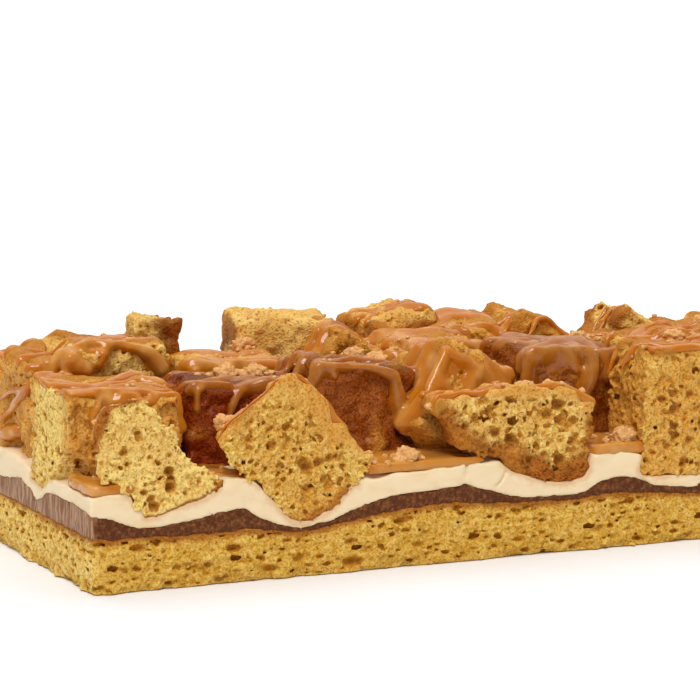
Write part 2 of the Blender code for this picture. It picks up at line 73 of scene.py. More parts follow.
# Driving sizes in mm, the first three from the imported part
LENGTH = (CAD_BOX[1][0] - CAD_BOX[0][0]) / MM
DEPTH = (CAD_BOX[1][1] - CAD_BOX[0][1]) / MM
HEIGHT = (CAD_BOX[1][2] - CAD_BOX[0][2]) / MM
MIDDLE = np.array([LENGTH / 2, DEPTH / 2, 0.0])
CREAM_LEVEL = 32.0
CREAM_TOP = CREAM_LEVEL - 0.8
# Below the first height a chunk is sunk in the cream and smooth, above the second it is fully rough
SUNK_LEVEL = 23.0
BARE_LEVEL = 30.0
# Between two chunks, and between two layers
GAP = 0.3
SEAM = 0.4
# A distance that is past everything, the depth of a place without a pore, and a surface's lack of quads
FAR = 50.0
NO_PORE = np.float32(-2.0)
NO_QUADS = np.zeros((0, 4), np.int64)

Point = tuple[float, float, float]
Spot = tuple[float, float]
Line = tuple[Spot, ...]
Colour = tuple[float, float, float, float]


def smooth_step(value: np.ndarray, low: float, high: float) -> np.ndarray:
    """Rises softly from 0 to 1 while a value goes from low to high (or falls, where low is the larger)."""
    share = np.clip((value - low) / (high - low), 0.0, 1.0)
    return share * share * (3.0 - 2.0 * share)


def blend_min(first: np.ndarray, second: np.ndarray, width: float) -> np.ndarray:
    """Joins two distance fields, with the crease between them filled over a width in mm."""
    share = np.maximum(width - np.abs(first - second), 0.0) / width
    return np.minimum(first, second) - share * share * width * 0.25


def outline_distance(x: np.ndarray, z: np.ndarray, outline: Line) -> np.ndarray:
    """The distance field of a closed outline drawn on the front face.

    Args:
        x: Distances from the left end.
        z: Heights.
        outline: The outline's corners as distance from the left end and height.

    Returns:
        The field, over x and z together.
    """
    nearest = line_distance(x, z, (*outline, outline[0]))
    inside = np.zeros(nearest.shape, bool)
    for start, end in zip(outline, (*outline[1:], outline[0])):
        crosses = (start[1] > z) != (end[1] > z)
        rise = (end[1] - start[1]) or 1.0
        inside ^= crosses & (x < start[0] + (z - start[1]) * (end[0] - start[0]) / rise)
    return np.where(inside, -nearest, nearest).astype(np.float32)


def line_distance(x: np.ndarray, z: np.ndarray, line: Line) -> np.ndarray:
    """The distance from a line drawn on the front face.

    Args:
        x: Distances from the left end.
        z: Heights.
        line: The line's corners as distance from the left end and height.

    Returns:
        The distance, over x and z together.
    """
    nearest = None
    for start, end in zip(line, line[1:]):
        run, rise = end[0] - start[0], end[1] - start[1]
        share = np.clip(((x - start[0]) * run + (z - start[1]) * rise) / (run * run + rise * rise), 0, 1)
        gap = (x - start[0] - share * run) ** 2 + (z - start[1] - share * rise) ** 2
        nearest = gap if nearest is None else np.minimum(nearest, gap)
    return np.sqrt(nearest).astype(np.float32)


def along(line: np.ndarray, axis: int) -> np.ndarray:
    """Turns a row of numbers so that it runs along one axis of a grid."""
    return line.reshape([-1 if other == axis else 1 for other in range(3)])


def between(values: np.ndarray, axis: int, index: np.ndarray, share: np.ndarray) -> np.ndarray:
    """Reads a block that repeats along an axis at shares of the way past the samples that an index names."""
    near, far = (np.take(values, part % values.shape[axis], axis=axis) for part in (index, index + 1))
    return near + (far - near) * along(share, axis).astype(values.dtype)


def at_places(values: np.ndarray, index: Sequence[np.ndarray], share: Sequence[np.ndarray]) -> np.ndarray:
    """Reads a block of numbers between its samples at scattered places.

    Args:
        values: The block.
        index: For each axis, the samples below the places.
        share: For each axis, how far they lie on towards the next sample.

    Returns:
        The number at each place.
    """
    result = np.zeros(len(index[0]))
    for corner in range(8):
        bits = [(corner >> axis) & 1 for axis in range(3)]
        weight = 1.0
        for bit, part in zip(bits, share):
            weight = weight * (part if bit else 1.0 - part)
        result += weight * values[tuple(part + bit for part, bit in zip(index, bits))]
    return result


@dataclass(frozen=True)
class Grid:
    """Sample points at one spacing between two corners, in mm."""

    low: Point
    high: Point
    step: float

    # The share of a step by which a corner may miss a sample
    SLACK = 0.001

    @classmethod
    def over(cls, margin: float, low: float, high: float, step: float) -> "Grid":
        """The samples over the whole strip with a margin round it, between two heights."""
        return cls((-margin, -margin, low), (LENGTH + margin, DEPTH + margin, high), step)

    @cached_property
    def counts(self) -> tuple[int, int, int]:
        """How many samples lie along each axis."""
        spans = [(b - a) / self.step for a, b in zip(self.low, self.high)]
        return tuple(int(math.ceil(span - self.SLACK)) + 1 for span in spans)

    def line(self, axis: int) -> np.ndarray:
        """The coordinates of the samples along one axis."""
        return (self.low[axis] + np.arange(self.counts[axis]) * self.step).astype(np.float32)

    @cached_property
    def axes(self) -> tuple[np.ndarray, np.ndarray, np.ndarray]:
        """The three coordinates as arrays that broadcast over the grid."""
        return tuple(along(self.line(axis), axis) for axis in range(3))

    def window(self, low: Sequence[float], high: Sequence[float]) -> Optional[tuple[tuple, "Grid"]]:
        """Picks the samples between two corners.

        Args:
            low: The lowest corner.
            high: The highest corner.

        Returns:
            The slices that pick those samples and their own grid, or None where there are none.
        """
        starts = [(part - end) / self.step for part, end in zip(low, self.low)]
        stops = [(part - end) / self.step for part, end in zip(high, self.low)]
        first = [max(0, int(math.floor(start + self.SLACK))) for start in starts]
        last = [min(n - 1, int(math.ceil(stop - self.SLACK))) for n, stop in zip(self.counts, stops)]
        if any(a >= b for a, b in zip(first, last)):
            return None
        ends = [tuple(end + n * self.step for end, n in zip(self.low, numbers)) for numbers in (first, last)]
        return tuple(slice(a, b + 1) for a, b in zip(first, last)), Grid(*ends, self.step)

    def read(self, values: np.ndarray, points: np.ndarray) -> np.ndarray:
        """Reads a field between its samples.

        Args:
            values: The field on this grid.
            points: Places in mm, one a row.

        Returns:
            The field's value at each place.
        """
        most = np.array(values.shape) - (1.0 + self.SLACK)
        place = np.clip((points - np.array(self.low)) / self.step, 0.0, most)
        index = place.astype(int)
        return at_places(values, index.T, (place - index).T)


class Noise:
    """Smooth noise over the strip, between about -1 and 1, from a seeded lattice."""

    # The lattice's lowest corner and its size
    LOW = (-40.0, -40.0, -20.0)
    SIZE = (380.0, 200.0, 130.0)

    def __init__(self, seed: int, width: float, height: Optional[float] = None) -> None:
        """Draws the lattice.

        Args:
            seed: Which noise it is.
            width: The size of its swells in mm.
            height: Their size upwards, where it differs.
        """
        self.widths = (width, width, height or width)
        counts = [int(size / wide) + 3 for size, wide in zip(self.SIZE, self.widths)]
        self.values = np.random.RandomState(seed).uniform(-1, 1, counts).astype(np.float32)

    def _place(self, coordinates: np.ndarray, axis: int) -> tuple[np.ndarray, np.ndarray]:
        """Finds where coordinates lie in the lattice.

        Args:
            coordinates: Places along one axis.
            axis: The axis.

        Returns:
            The cell of each, and the softened share of the way across it.
        """
        place = (coordinates - self.LOW[axis]) / self.widths[axis]
        index = np.clip(np.floor(place).astype(int), 0, self.values.shape[axis] - 2)
        return index, smooth_step(place - index, 0.0, 1.0)

    def on(self, grid: Grid) -> np.ndarray:
        """The noise on a whole grid.

        Args:
            grid: Where it is wanted.

        Returns:
            The noise at each sample.
        """
        result = self.values
        for axis in range(3):
            result = between(result, axis, *self._place(grid.line(axis), axis))
        return result

    def at(self, points: np.ndarray) -> np.ndarray:
        """The noise at places in mm, one a row."""
        return at_places(self.values, *zip(*(self._place(points[:, axis], axis) for axis in range(3))))


@dataclass(frozen=True)
class PoreSize:
    """Pores of one size: how far apart they lie and their radii, in mm, and the share that is blown."""

    spacing: float
    least: float
    most: float
    share: float = 1.0


class Pores:
    """The bubbles of a sponge, in a block that repeats without a seam: positive inside a bubble."""

    # The block's side, its samples' spacing, and how near to its cell's rim a bubble may lie
    SIDE = 40.0
    STEP = 0.4
    RIM = 0.1

    def __init__(self, seed: int, size: PoreSize, stretch: float = 1.0) -> None:
        """Blows the bubbles, one for each cell of a lattice, away from the cell's middle.

        Args:
            seed: Which pores they are.
            size: Their size.
            stretch: How many times wider than high they are.
        """
        draw = np.random.RandomState(seed)
        count = round(self.SIDE / self.STEP)
        widths = (size.spacing * stretch, size.spacing * stretch, size.spacing)
        cells = [max(3, round(self.SIDE / width)) for width in widths]
        middles = draw.uniform(self.RIM, 1.0 - self.RIM, (*cells, 3)).astype(np.float32)
        radii = draw.uniform(size.least, size.most, cells).astype(np.float32)
        radii = np.where(draw.uniform(0, 1, cells) < size.share, radii, NO_PORE)
        lines = [(np.arange(count) + 0.5) * number / count for number in cells]
        scale = [self.SIDE / number / (stretch if axis < 2 else 1.0) for axis, number in enumerate(cells)]
        self.depth = np.full((count,) * 3, NO_PORE)
        for shift in np.ndindex(3, 3, 3):
            index = [np.floor(line).astype(int) + move - 1 for line, move in zip(lines, shift)]
            block = np.ix_(*[part % number for part, number in zip(index, cells)])
            away = np.zeros((count,) * 3, np.float32)
            for axis in range(3):
                gap = along(lines[axis] - index[axis], axis).astype(np.float32) - middles[block][..., axis]
                away += (gap * np.float32(scale[axis])) ** 2
            self.depth = np.maximum(self.depth, radii[block] - np.sqrt(away))

    def on(self, grid: Grid, shift: Sequence[float] = (0.0, 0.0, 0.0)) -> np.ndarray:
        """The pores on a whole grid.

        Args:
            grid: Where they are wanted.
            shift: How far they are moved, so that no two chunks are alike.

        Returns:
            How deep each sample lies in a pore.
        """
        result = self.depth
        for axis in range(3):
            place = (grid.line(axis) + shift[axis]) / self.STEP
            index = np.floor(place).astype(int)
            result = between(result, axis, index, place - index)
        return result


def shallow(body: np.ndarray, depth: float) -> np.ndarray:
    """What ends pores at a depth below a body's surface."""
    return np.minimum(body + depth, 0.0) * 2.0


def grain_relief(grains: np.ndarray, froth: np.ndarray) -> np.ndarray:
    """How far the finest pores move a surface in, or out between them, in mm."""
    return 0.25 - np.clip(grains + froth * 0.2, -0.6, 0.5) * 0.95


def fill_hollows(values: np.ndarray, rounds: int = 16) -> np.ndarray:
    """Closes bubbles that no way leads into from outside.

    Args:
        values: A distance field.
        rounds: How many samples long a way in may be.

    Returns:
        The field without them.
    """
    outside = 1.5
    filled = np.float32(-0.2)
    free = values > 0
    seen = values > outside
    for axis in range(3):
        for end in (0, -1):
            np.moveaxis(seen, axis, 0)[end] |= np.moveaxis(free, axis, 0)[end]
    for _ in range(rounds):
        grown = seen.copy()
        for axis in range(3):
            old = np.moveaxis(seen, axis, 0)
            new = np.moveaxis(grown, axis, 0)
            new[1:] |= old[:-1]
            new[:-1] |= old[1:]
        seen = grown & free | seen
    return np.where(free & ~seen, filled, values)


@dataclass
class Skin:
    """A surface: its points in mm and its faces."""

    points: np.ndarray
    triangles: np.ndarray
    quads: np.ndarray

    @classmethod
    def of(cls, values: np.ndarray, grid: Grid) -> "Skin":
        """Takes the surface of a distance field.

        Args:
            values: The field.
            grid: Where its samples lie.

        Returns:
            The surface, facing out.
        """
        edge = 3.0 * grid.step
        volume = openvdb.FloatGrid(edge)
        volume.copyFromArray(np.clip(values, -edge, edge).astype(np.float32), tolerance=0.0)
        points, triangles, quads = volume.convertToPolygons(0.0, 0.0)
        placed = points.astype(np.float64) * grid.step + np.array(grid.low)
        return cls(cls.boxed(placed), triangles.astype(np.int64), quads.astype(np.int64))

    @staticmethod
    def boxed(points: np.ndarray, inset: float = 0.02) -> np.ndarray:
        """Keeps points just inside the part's box and above its underside."""
        return np.clip(points, (inset, inset, 0.0), (LENGTH - inset, DEPTH - inset, HEIGHT - inset))

    def smoothed(self, rounds: int) -> "Skin":
        """Evens the surface out by moving each point towards the middle of its neighbours.

        Args:
            rounds: How often.

        Returns:
            The evened surface.
        """
        edges = [self.triangles[:, [a, (a + 1) % 3]] for a in range(3)]
        edges += [self.quads[:, [a, (a + 1) % 4]] for a in range(4)]
        pairs = np.concatenate([edge for edge in edges if len(edge)])
        points = self.points
        degree = np.bincount(pairs.ravel(), minlength=len(points))[:, None]
        for _ in range(rounds):
            total = np.zeros_like(points)
            for axis in range(3):
                total[:, axis] = np.bincount(pairs[:, 0], points[pairs[:, 1], axis], len(points))
                total[:, axis] += np.bincount(pairs[:, 1], points[pairs[:, 0], axis], len(points))
            points = points + (total / np.maximum(degree, 1) - points) * 0.5
        return Skin(points, self.triangles, self.quads)

    def thinned(self, share: float) -> "Skin":
        """Leaves larger triangles where the surface is even.

        Args:
            share: How many of the triangles are kept.

        Returns:
            The surface with fewer triangles.
        """
        mesh = self.mesh("thinned")
        piece = bpy.data.objects.new("thinned", mesh)
        bpy.context.scene.collection.objects.link(piece)
        piece.modifiers.new("thin", "DECIMATE").ratio = share
        made = bpy.data.meshes.new_from_object(piece.evaluated_get(bpy.context.evaluated_depsgraph_get()))
        made.calc_loop_triangles()
        points = np.empty(len(made.vertices) * 3, np.float32)
        made.vertices.foreach_get("co", points)
        triangles = np.empty(len(made.loop_triangles) * 3, np.int32)
        made.loop_triangles.foreach_get("vertices", triangles)
        bpy.data.objects.remove(piece)
        bpy.data.meshes.remove(mesh)
        bpy.data.meshes.remove(made)
        placed = self.boxed(points.reshape(-1, 3).astype(np.float64) / MM + MIDDLE)
        return Skin(placed, triangles.reshape(-1, 3).astype(np.int64), NO_QUADS)

    def mesh(self, name: str) -> bpy.types.Mesh:
        """Makes Blender's mesh of the surface, in metres, round the strip's middle.

        Args:
            name: The mesh's name.

        Returns:
            The mesh.
        """
        made = bpy.data.meshes.new(name)
        placed = (self.points - MIDDLE) * MM
        made.from_pydata(placed.tolist(), [], self.triangles.tolist() + self.quads.tolist())
        made.shade_smooth()
        return made

    @property
    def size(self) -> int:
        """How many triangles the surface has."""
        return len(self.triangles) + 2 * len(self.quads)


def add_piece(
    name: str,
    skin: Skin,
    material: bpy.types.Material,
    nodes: Sequence[str] = (),
    marks: Optional[dict[str, np.ndarray]] = None,
) -> None:
    """Puts a piece into the scene and fixes it to the part.

    Args:
        name: The piece's name.
        skin: Its surface.
        material: Its finish.
        nodes: The solids that it stands for.
        marks: Numbers for each point that the finish reads, by name.
    """
    mesh = skin.mesh(name)
    for mark, values in (marks or {}).items():
        stored = mesh.attributes.new(mark, "FLOAT", "POINT")
        stored.data.foreach_set("value", np.ascontiguousarray(values, np.float32))
    mesh.materials.append(material)
    piece = bpy.data.objects.new(name, mesh)
    bpy.context.scene.collection.objects.link(piece)
    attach(piece, "root")
    if nodes:
        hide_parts(*nodes)
    LOG.info("%s: %d triangles", name, skin.size)


# Finishes


def colour(red: int, green: int, blue: int) -> Colour:
    """Turns a colour as seen on a screen, 0 to 255, into light's own scale."""
    shares = [part / 255.0 for part in (red, green, blue)]
    return (*(part / 12.92 if part <= 0.04045 else ((part + 0.055) / 1.055) ** 2.4 for part in shares), 1.0)


class Value:
    """A number that changes over a surface: expressions on it add Math nodes."""

    def __init__(self, shader: "Shader", socket: bpy.types.NodeSocket) -> None:
        """Wraps a socket of a shader."""
        self.shader = shader
        self.socket = socket

    def _math(self, operation: str, *inputs: object) -> "Value":
        """Adds one Math node."""
        made = self.shader.node("ShaderNodeMath", {"operation": operation}, dict(enumerate(inputs)))
        return Value(self.shader, made.outputs[0])

    def __add__(self, other: object) -> "Value":
        """Adds a number or a value."""
        return self._math("ADD", self, other)

    __radd__ = __add__

    def __sub__(self, other: object) -> "Value":
        """Takes a number or a value away."""
        return self._math("SUBTRACT", self, other)

    def __rsub__(self, other: object) -> "Value":
        """Takes this away from a number."""
        return self._math("SUBTRACT", other, self)

    def __mul__(self, other: object) -> "Value":
        """Multiplies by a number or a value."""
        return self._math("MULTIPLY", self, other)

    __rmul__ = __mul__

    def least(self, other: object) -> "Value":
        """The lesser of two."""
        return self._math("MINIMUM", self, other)

    def step(self, low: float, high: float) -> "Value":
        """Rises softly from 0 to 1 (or falls, where low is the larger).

        Args:
            low: Where the result is 0.
            high: Where the result is 1.

        Returns:
            The softened value.
        """
        ends = {"Value": self, "From Min": low, "From Max": high}
        if low > high:
            ends = {"Value": self, "From Min": high, "From Max": low, "To Min": 1.0, "To Max": 0.0}
        made = self.shader.node("ShaderNodeMapRange", {"interpolation_type": "SMOOTHSTEP"}, ends)
        return Value(self.shader, made.outputs["Result"])


class Shader:
    """The nodes of one material."""

    def __init__(self, name: str) -> None:
        """Starts a material with one Principled shader.

        Args:
            name: The material's name.
        """
        self.material = bpy.data.materials.new(name)
        self.material.use_nodes = True
        self.tree = self.material.node_tree
        self.surface = self.tree.nodes["Principled BSDF"]
        self.place = self.node("ShaderNodeTexCoord", {}, {}).outputs["Object"]

    def node(self, kind: str, settings: dict[str, object], inputs: dict[object, object]) -> bpy.types.Node:
        """Adds any node.

        Args:
            kind: Blender's name for the node's type.
            settings: Its own settings, which are set first.
            inputs: Values, or sockets and Values to link, by socket name or number.

        Returns:
            The node.
        """
        made = self.tree.nodes.new(kind)
        for key, value in settings.items():
            setattr(made, key, value)
        for key, value in inputs.items():
            self.feed(made.inputs[key], value)
        return made

    def feed(self, socket: bpy.types.NodeSocket, value: object) -> None:
        """Links or sets a socket.

        Args:
            socket: The socket.
            value: A Value or a socket to link, or a constant.
        """
        if isinstance(value, Value):
            value = value.socket
        if isinstance(value, bpy.types.NodeSocket):
            self.tree.links.new(value, socket)
        else:
            socket.default_value = value

    def mark(self, name: str) -> Value:
        """Reads a number stored at the mesh's points."""
        made = self.node("ShaderNodeAttribute", {"attribute_name": name}, {})
        return Value(self, made.outputs["Fac"])

    def noise(self, size: float, detail: float = 2.0, roughness: float = 0.5, flat: float = 1.0) -> Value:
        """Noise with swells of a size in mm, from 0 to 1.

        Args:
            size: The swells' size in mm.
            detail: How many finer layers it has.
            roughness: How strong those are.
            flat: How many times lower than wide the swells are.

        Returns:
            The noise.
        """
        wide = size * MM
        inputs = {"Vector": self.place, "Scale": (1.0 / wide, 1.0 / wide, flat / wide)}
        place = self.node("ShaderNodeMapping", {"vector_type": "POINT"}, inputs)
        inputs = {"Vector": place.outputs[0], "Scale": 1.0, "Detail": detail, "Roughness": roughness}
        return Value(self, self.node("ShaderNodeTexNoise", {}, inputs).outputs[0])

    def cells(self, size: float, warp: float = 0.35) -> Value:
        """The distance to the nearest of many points, as a share of the gap between them.

        Args:
            size: How far apart they lie, in mm.
            warp: How far the pattern is bent out of true, as a share of that.

        Returns:
            The distance, near 0 in the middle of a cell.
        """
        wide = size * MM
        bend = self.node("ShaderNodeTexNoise", {}, {"Vector": self.place, "Scale": 0.8 / wide, "Detail": 1.0})
        centred = self.vector("SUBTRACT", bend.outputs[1], (0.5, 0.5, 0.5))
        moved = self.vector("MULTIPLY_ADD", centred, (2.0 * warp * size * MM,) * 3, self.place)
        inputs = {"Vector": moved, "Scale": 1.0 / wide, "Randomness": 1.0}
        return Value(self, self.node("ShaderNodeTexVoronoi", {"feature": "F1"}, inputs).outputs["Distance"])

    def vector(self, operation: str, *inputs: object) -> bpy.types.NodeSocket:
        """Adds one Vector Math node."""
        return self.node("ShaderNodeVectorMath", {"operation": operation}, dict(enumerate(inputs))).outputs[0]

    def mix(self, share: object, first: object, second: object) -> bpy.types.NodeSocket:
        """Mixes two colours: the share is how much of the second there is."""
        settings = {"data_type": "RGBA", "blend_type": "MIX"}
        return self.node("ShaderNodeMix", settings, {0: share, 6: first, 7: second}).outputs[2]

    def bump(self, height: Value, depth: float) -> None:
        """Roughens the surface by a height that is worth a depth in mm from 0 to 1."""
        made = self.node("ShaderNodeBump", {}, {"Height": height, "Strength": 1.0, "Distance": depth * MM})
        self.feed(self.surface.inputs["Normal"], made.outputs[0])

    def set(self, **inputs: object) -> None:
        """Feeds the Principled shader's sockets, named with _ for a space."""
        for key, value in inputs.items():
            self.feed(self.surface.inputs[key.replace("_", " ")], value)


@dataclass(frozen=True)
class SpongeFinish:
    """Baked sponge: pale crumb, browned crust, soaked places, and painted shade in its pores and creases."""

    name: str
    # The pale crumb, and also a painted highlight on the grain tops
    wall: Colour = colour(252, 220, 134)
    crumb: Colour = colour(240, 196, 84)
    # Painted shade: these three darken the creases, the pores and the deepest pits
    shade: Colour = colour(206, 152, 46)
    pit_shade: Colour = colour(184, 116, 22)
    hollow_shade: Colour = colour(122, 64, 12)
    # The dark crust tone is partly the crust's own colour, partly painted shade in its creases and pores
    crust: Colour = colour(192, 114, 40)
    dark_crust: Colour = colour(114, 52, 14)
    golden: Colour = colour(216, 150, 54)
    soaked: Colour = colour(208, 128, 8)
    # Dark soaked crumb; the darker tone also paints shade in its creases and pores
    light_soaked: Colour = colour(156, 62, 4)
    dark_soaked: Colour = colour(98, 20, 2)

    def build(self) -> bpy.types.Material:
        """Makes the material.

        Returns:
            The material. It reads the marks crust, soak, dark and pale, and a point's depth, which darkens
            pits as painted shade.
        """
        shader = Shader(self.name)
        uneven = shader.noise(5.0, 3.0, 0.6)
        fine = shader.noise(0.5, 2.0, 0.6)
        grains = shader.cells(0.75, 0.4)
        # Painted shade in the creases between the grains, and a painted highlight on their tops
        crease_shade = grains.step(0.42, 0.85)
        # Pores only in the shading: they dent the bump and darken the colour as painted shade
        pores = shader.cells(1.5, 0.75).step(0.36, 0.16)
        deep, soak, dark, pale = (shader.mark(name) for name in ("pit_shade", "soak", "dark", "pale"))
        # Random tone and the pale mark, a painted highlight on the grain tops, then painted shade by depth,
        # creases and pores
        crumb = shader.mix((uneven - 0.3) * 1.1 - pale * 0.45 + crease_shade * 0.3, self.wall, self.crumb)
        crumb = shader.mix(deep.step(-0.15, 0.6) * 0.6 + crease_shade * 0.55 - pale * 0.2, crumb, self.shade)
        crumb = shader.mix(pores * 0.7, crumb, self.pit_shade)
        crumb = shader.mix(deep.step(0.5, 1.7) * 0.75, crumb, self.pit_shade)
        crumb = shader.mix(deep.step(1.7, 3.2) * 0.7, crumb, self.hollow_shade)
        # Soaked crumb: random tone, painted shade in creases and pores, a painted highlight on the grain tops
        shaded_grainy = shader.mix(crease_shade * 0.7 + pores * 0.5 + uneven * 0.3, self.light_soaked, self.dark_soaked)
        syrup = shader.mix(dark, self.soaked, shaded_grainy)
        syrup = shader.mix((1.0 - crease_shade) * 0.25 * (1.0 - dark), syrup, self.wall)
        syrup = shader.mix(pores * 0.35, syrup, self.hollow_shade)
        crumb = shader.mix((soak * 0.85 + dark * 0.4).least(1.0), crumb, syrup)
        # Crust: random tone and the dark mark, with painted shade in creases and pores
        skin = shader.mix((uneven - 0.28) * 1.4 + crease_shade * 0.6 + dark, self.crust, self.dark_crust)
        skin = shader.mix(pores * 0.5, skin, self.hollow_shade)
        skin = shader.mix(soak * 0.6 * (1.0 - dark), skin, self.golden)
        skin = shader.mix(fine.step(0.52, 0.75) * 0.35, skin, self.soaked)
        base = shader.mix(shader.mark("crust"), crumb, skin)
        sparkle = fine.step(0.66, 0.73) * (soak * 0.4 + dark).least(1.0)
        wet = (soak * 0.6 + dark * 0.5).least(1.0)
        shader.set(
            Base_Color=shader.mix(sparkle * 0.4, base, self.crumb), Roughness=0.8 - wet * 0.4,
            Subsurface_Weight=0.35, Subsurface_Scale=0.0013, Subsurface_Radius=(1.0, 0.55, 0.2),
            Specular_IOR_Level=0.08, Coat_Weight=wet * 0.17, Coat_Roughness=0.25,
        )
        shader.bump((1.0 - grains.least(0.9)) * 1.1 + fine * 0.45 - pores * 0.4, 0.3)
        return shader.material


@dataclass(frozen=True)
class CreamFinish:
    """Smooth cream with faint streaks of the knife and smears of caramel."""

    cream: Colour = colour(246, 222, 182)
    shade: Colour = colour(236, 204, 152)
    smear: Colour = colour(206, 142, 70)

    def build(self) -> bpy.types.Material:
        """Makes the material.

        Returns:
            The material, which reads the mark smear.
        """
        shader = Shader("soft_cream")
        streaks = shader.noise(9.0, 4.0, 0.55, flat=2.0)
        base = shader.mix(streaks.step(0.45, 0.75) * 0.6, self.cream, self.shade)
        shader.set(
            Base_Color=shader.mix(shader.mark("smear"), base, self.smear), Roughness=0.5,
            Subsurface_Weight=0.3, Subsurface_Scale=0.0015, Subsurface_Radius=(1.0, 0.75, 0.5),
            Specular_IOR_Level=0.25,
        )
        shader.bump(shader.noise(2.6, 3.0) * 0.7 + shader.noise(0.6, 2.0) * 0.3, 0.12)
        return shader.material


@dataclass(frozen=True)
class FillingFinish:
    """Dense dark filling, mauve and streaked where the knife dragged it."""

    dark: Colour = colour(88, 42, 12)
    light: Colour = colour(150, 92, 42)
    smeared: Colour = colour(190, 146, 110)
    groove: Colour = colour(136, 92, 58)

    def build(self) -> bpy.types.Material:
        """Makes the material.

        Returns:
            The material, which reads the mark smear.
        """
        shader = Shader("dark_spiced_filling")
        grain = shader.noise(1.1, 4.0, 0.7)
        streaks = shader.noise(0.9, 3.0, 0.6, flat=0.12)
        base = shader.mix(grain.step(0.42, 0.75), self.dark, self.light)
        dragged = shader.mix(streaks.step(0.42, 0.62), self.groove, self.smeared)
        shader.set(
            Base_Color=shader.mix(shader.mark("smear"), base, dragged), Roughness=0.6 - grain * 0.3,
            Subsurface_Weight=0.08, Subsurface_Scale=0.001, Specular_IOR_Level=0.2,
        )
        shader.bump(grain * 0.8 + streaks * shader.mark("smear") * 0.8, 0.35)
        return shader.material


@dataclass(frozen=True)
class CaramelFinish:
    """Thick glossy caramel, amber where it is thin, lighter where thick, milky in patches, with a painted
    highlight on its ridges.
    """

    thin: Colour = colour(194, 112, 8)
    thick: Colour = colour(200, 130, 38)
    # Milky patches, and also a painted highlight on the thickest ridges
    milky_and_highlight: Colour = colour(224, 172, 98)
    deep: Colour = colour(124, 48, 6)

    def build(self) -> bpy.types.Material:
        """Makes the material.

        Returns:
            The material, which reads the marks body and under.
        """
        shader = Shader("thick_caramel")
        # Lighter where the caramel is thick, partly as a painted highlight on its ridges
        base = shader.mix(shader.mark("body"), self.thin, self.thick)
        milk_and_ridge_highlight = shader.noise(7.0, 2.0).step(0.48, 0.74) * 0.5 + shader.mark("body").step(0.8, 1.0) * 0.12
        base = shader.mix(milk_and_ridge_highlight, base, self.milky_and_highlight)
        base = shader.mix(shader.mark("under") * (0.95 - shader.noise(4.0, 2.0)), base, self.deep)
        shader.set(
            Base_Color=base, Roughness=0.17, Specular_IOR_Level=0.4,
            Subsurface_Weight=0.5, Subsurface_Scale=0.0025, Subsurface_Radius=(1.0, 0.45, 0.15),
        )
        shader.bump(shader.noise(2.4, 3.0), 0.14)
        return shader.material


@dataclass(frozen=True)
class BiscuitFinish:
    """Dry spiced biscuit."""

    light: Colour = colour(244, 190, 120)
    dark: Colour = colour(206, 138, 70)

    def build(self) -> bpy.types.Material:
        """Makes the material.

        Returns:
            The material.
        """
        shader = Shader("biscuit")
        grain = shader.noise(0.9, 4.0, 0.7)
        base = shader.mix(grain.step(0.35, 0.7), self.light, self.dark)
        shader.set(Base_Color=base, Roughness=0.85, Subsurface_Weight=0.1, Subsurface_Scale=0.001)
        shader.bump(grain + shader.noise(0.35, 2.0) * 0.5, 0.3)
        return shader.material


# The chunks


class Side(Enum):
    """The sides of a cube that may be browned or wet, as an axis and a direction along it."""

    LEFT = (0, -1)
    RIGHT = (0, 1)
    FRONT = (1, -1)
    TOP = (2, 1)


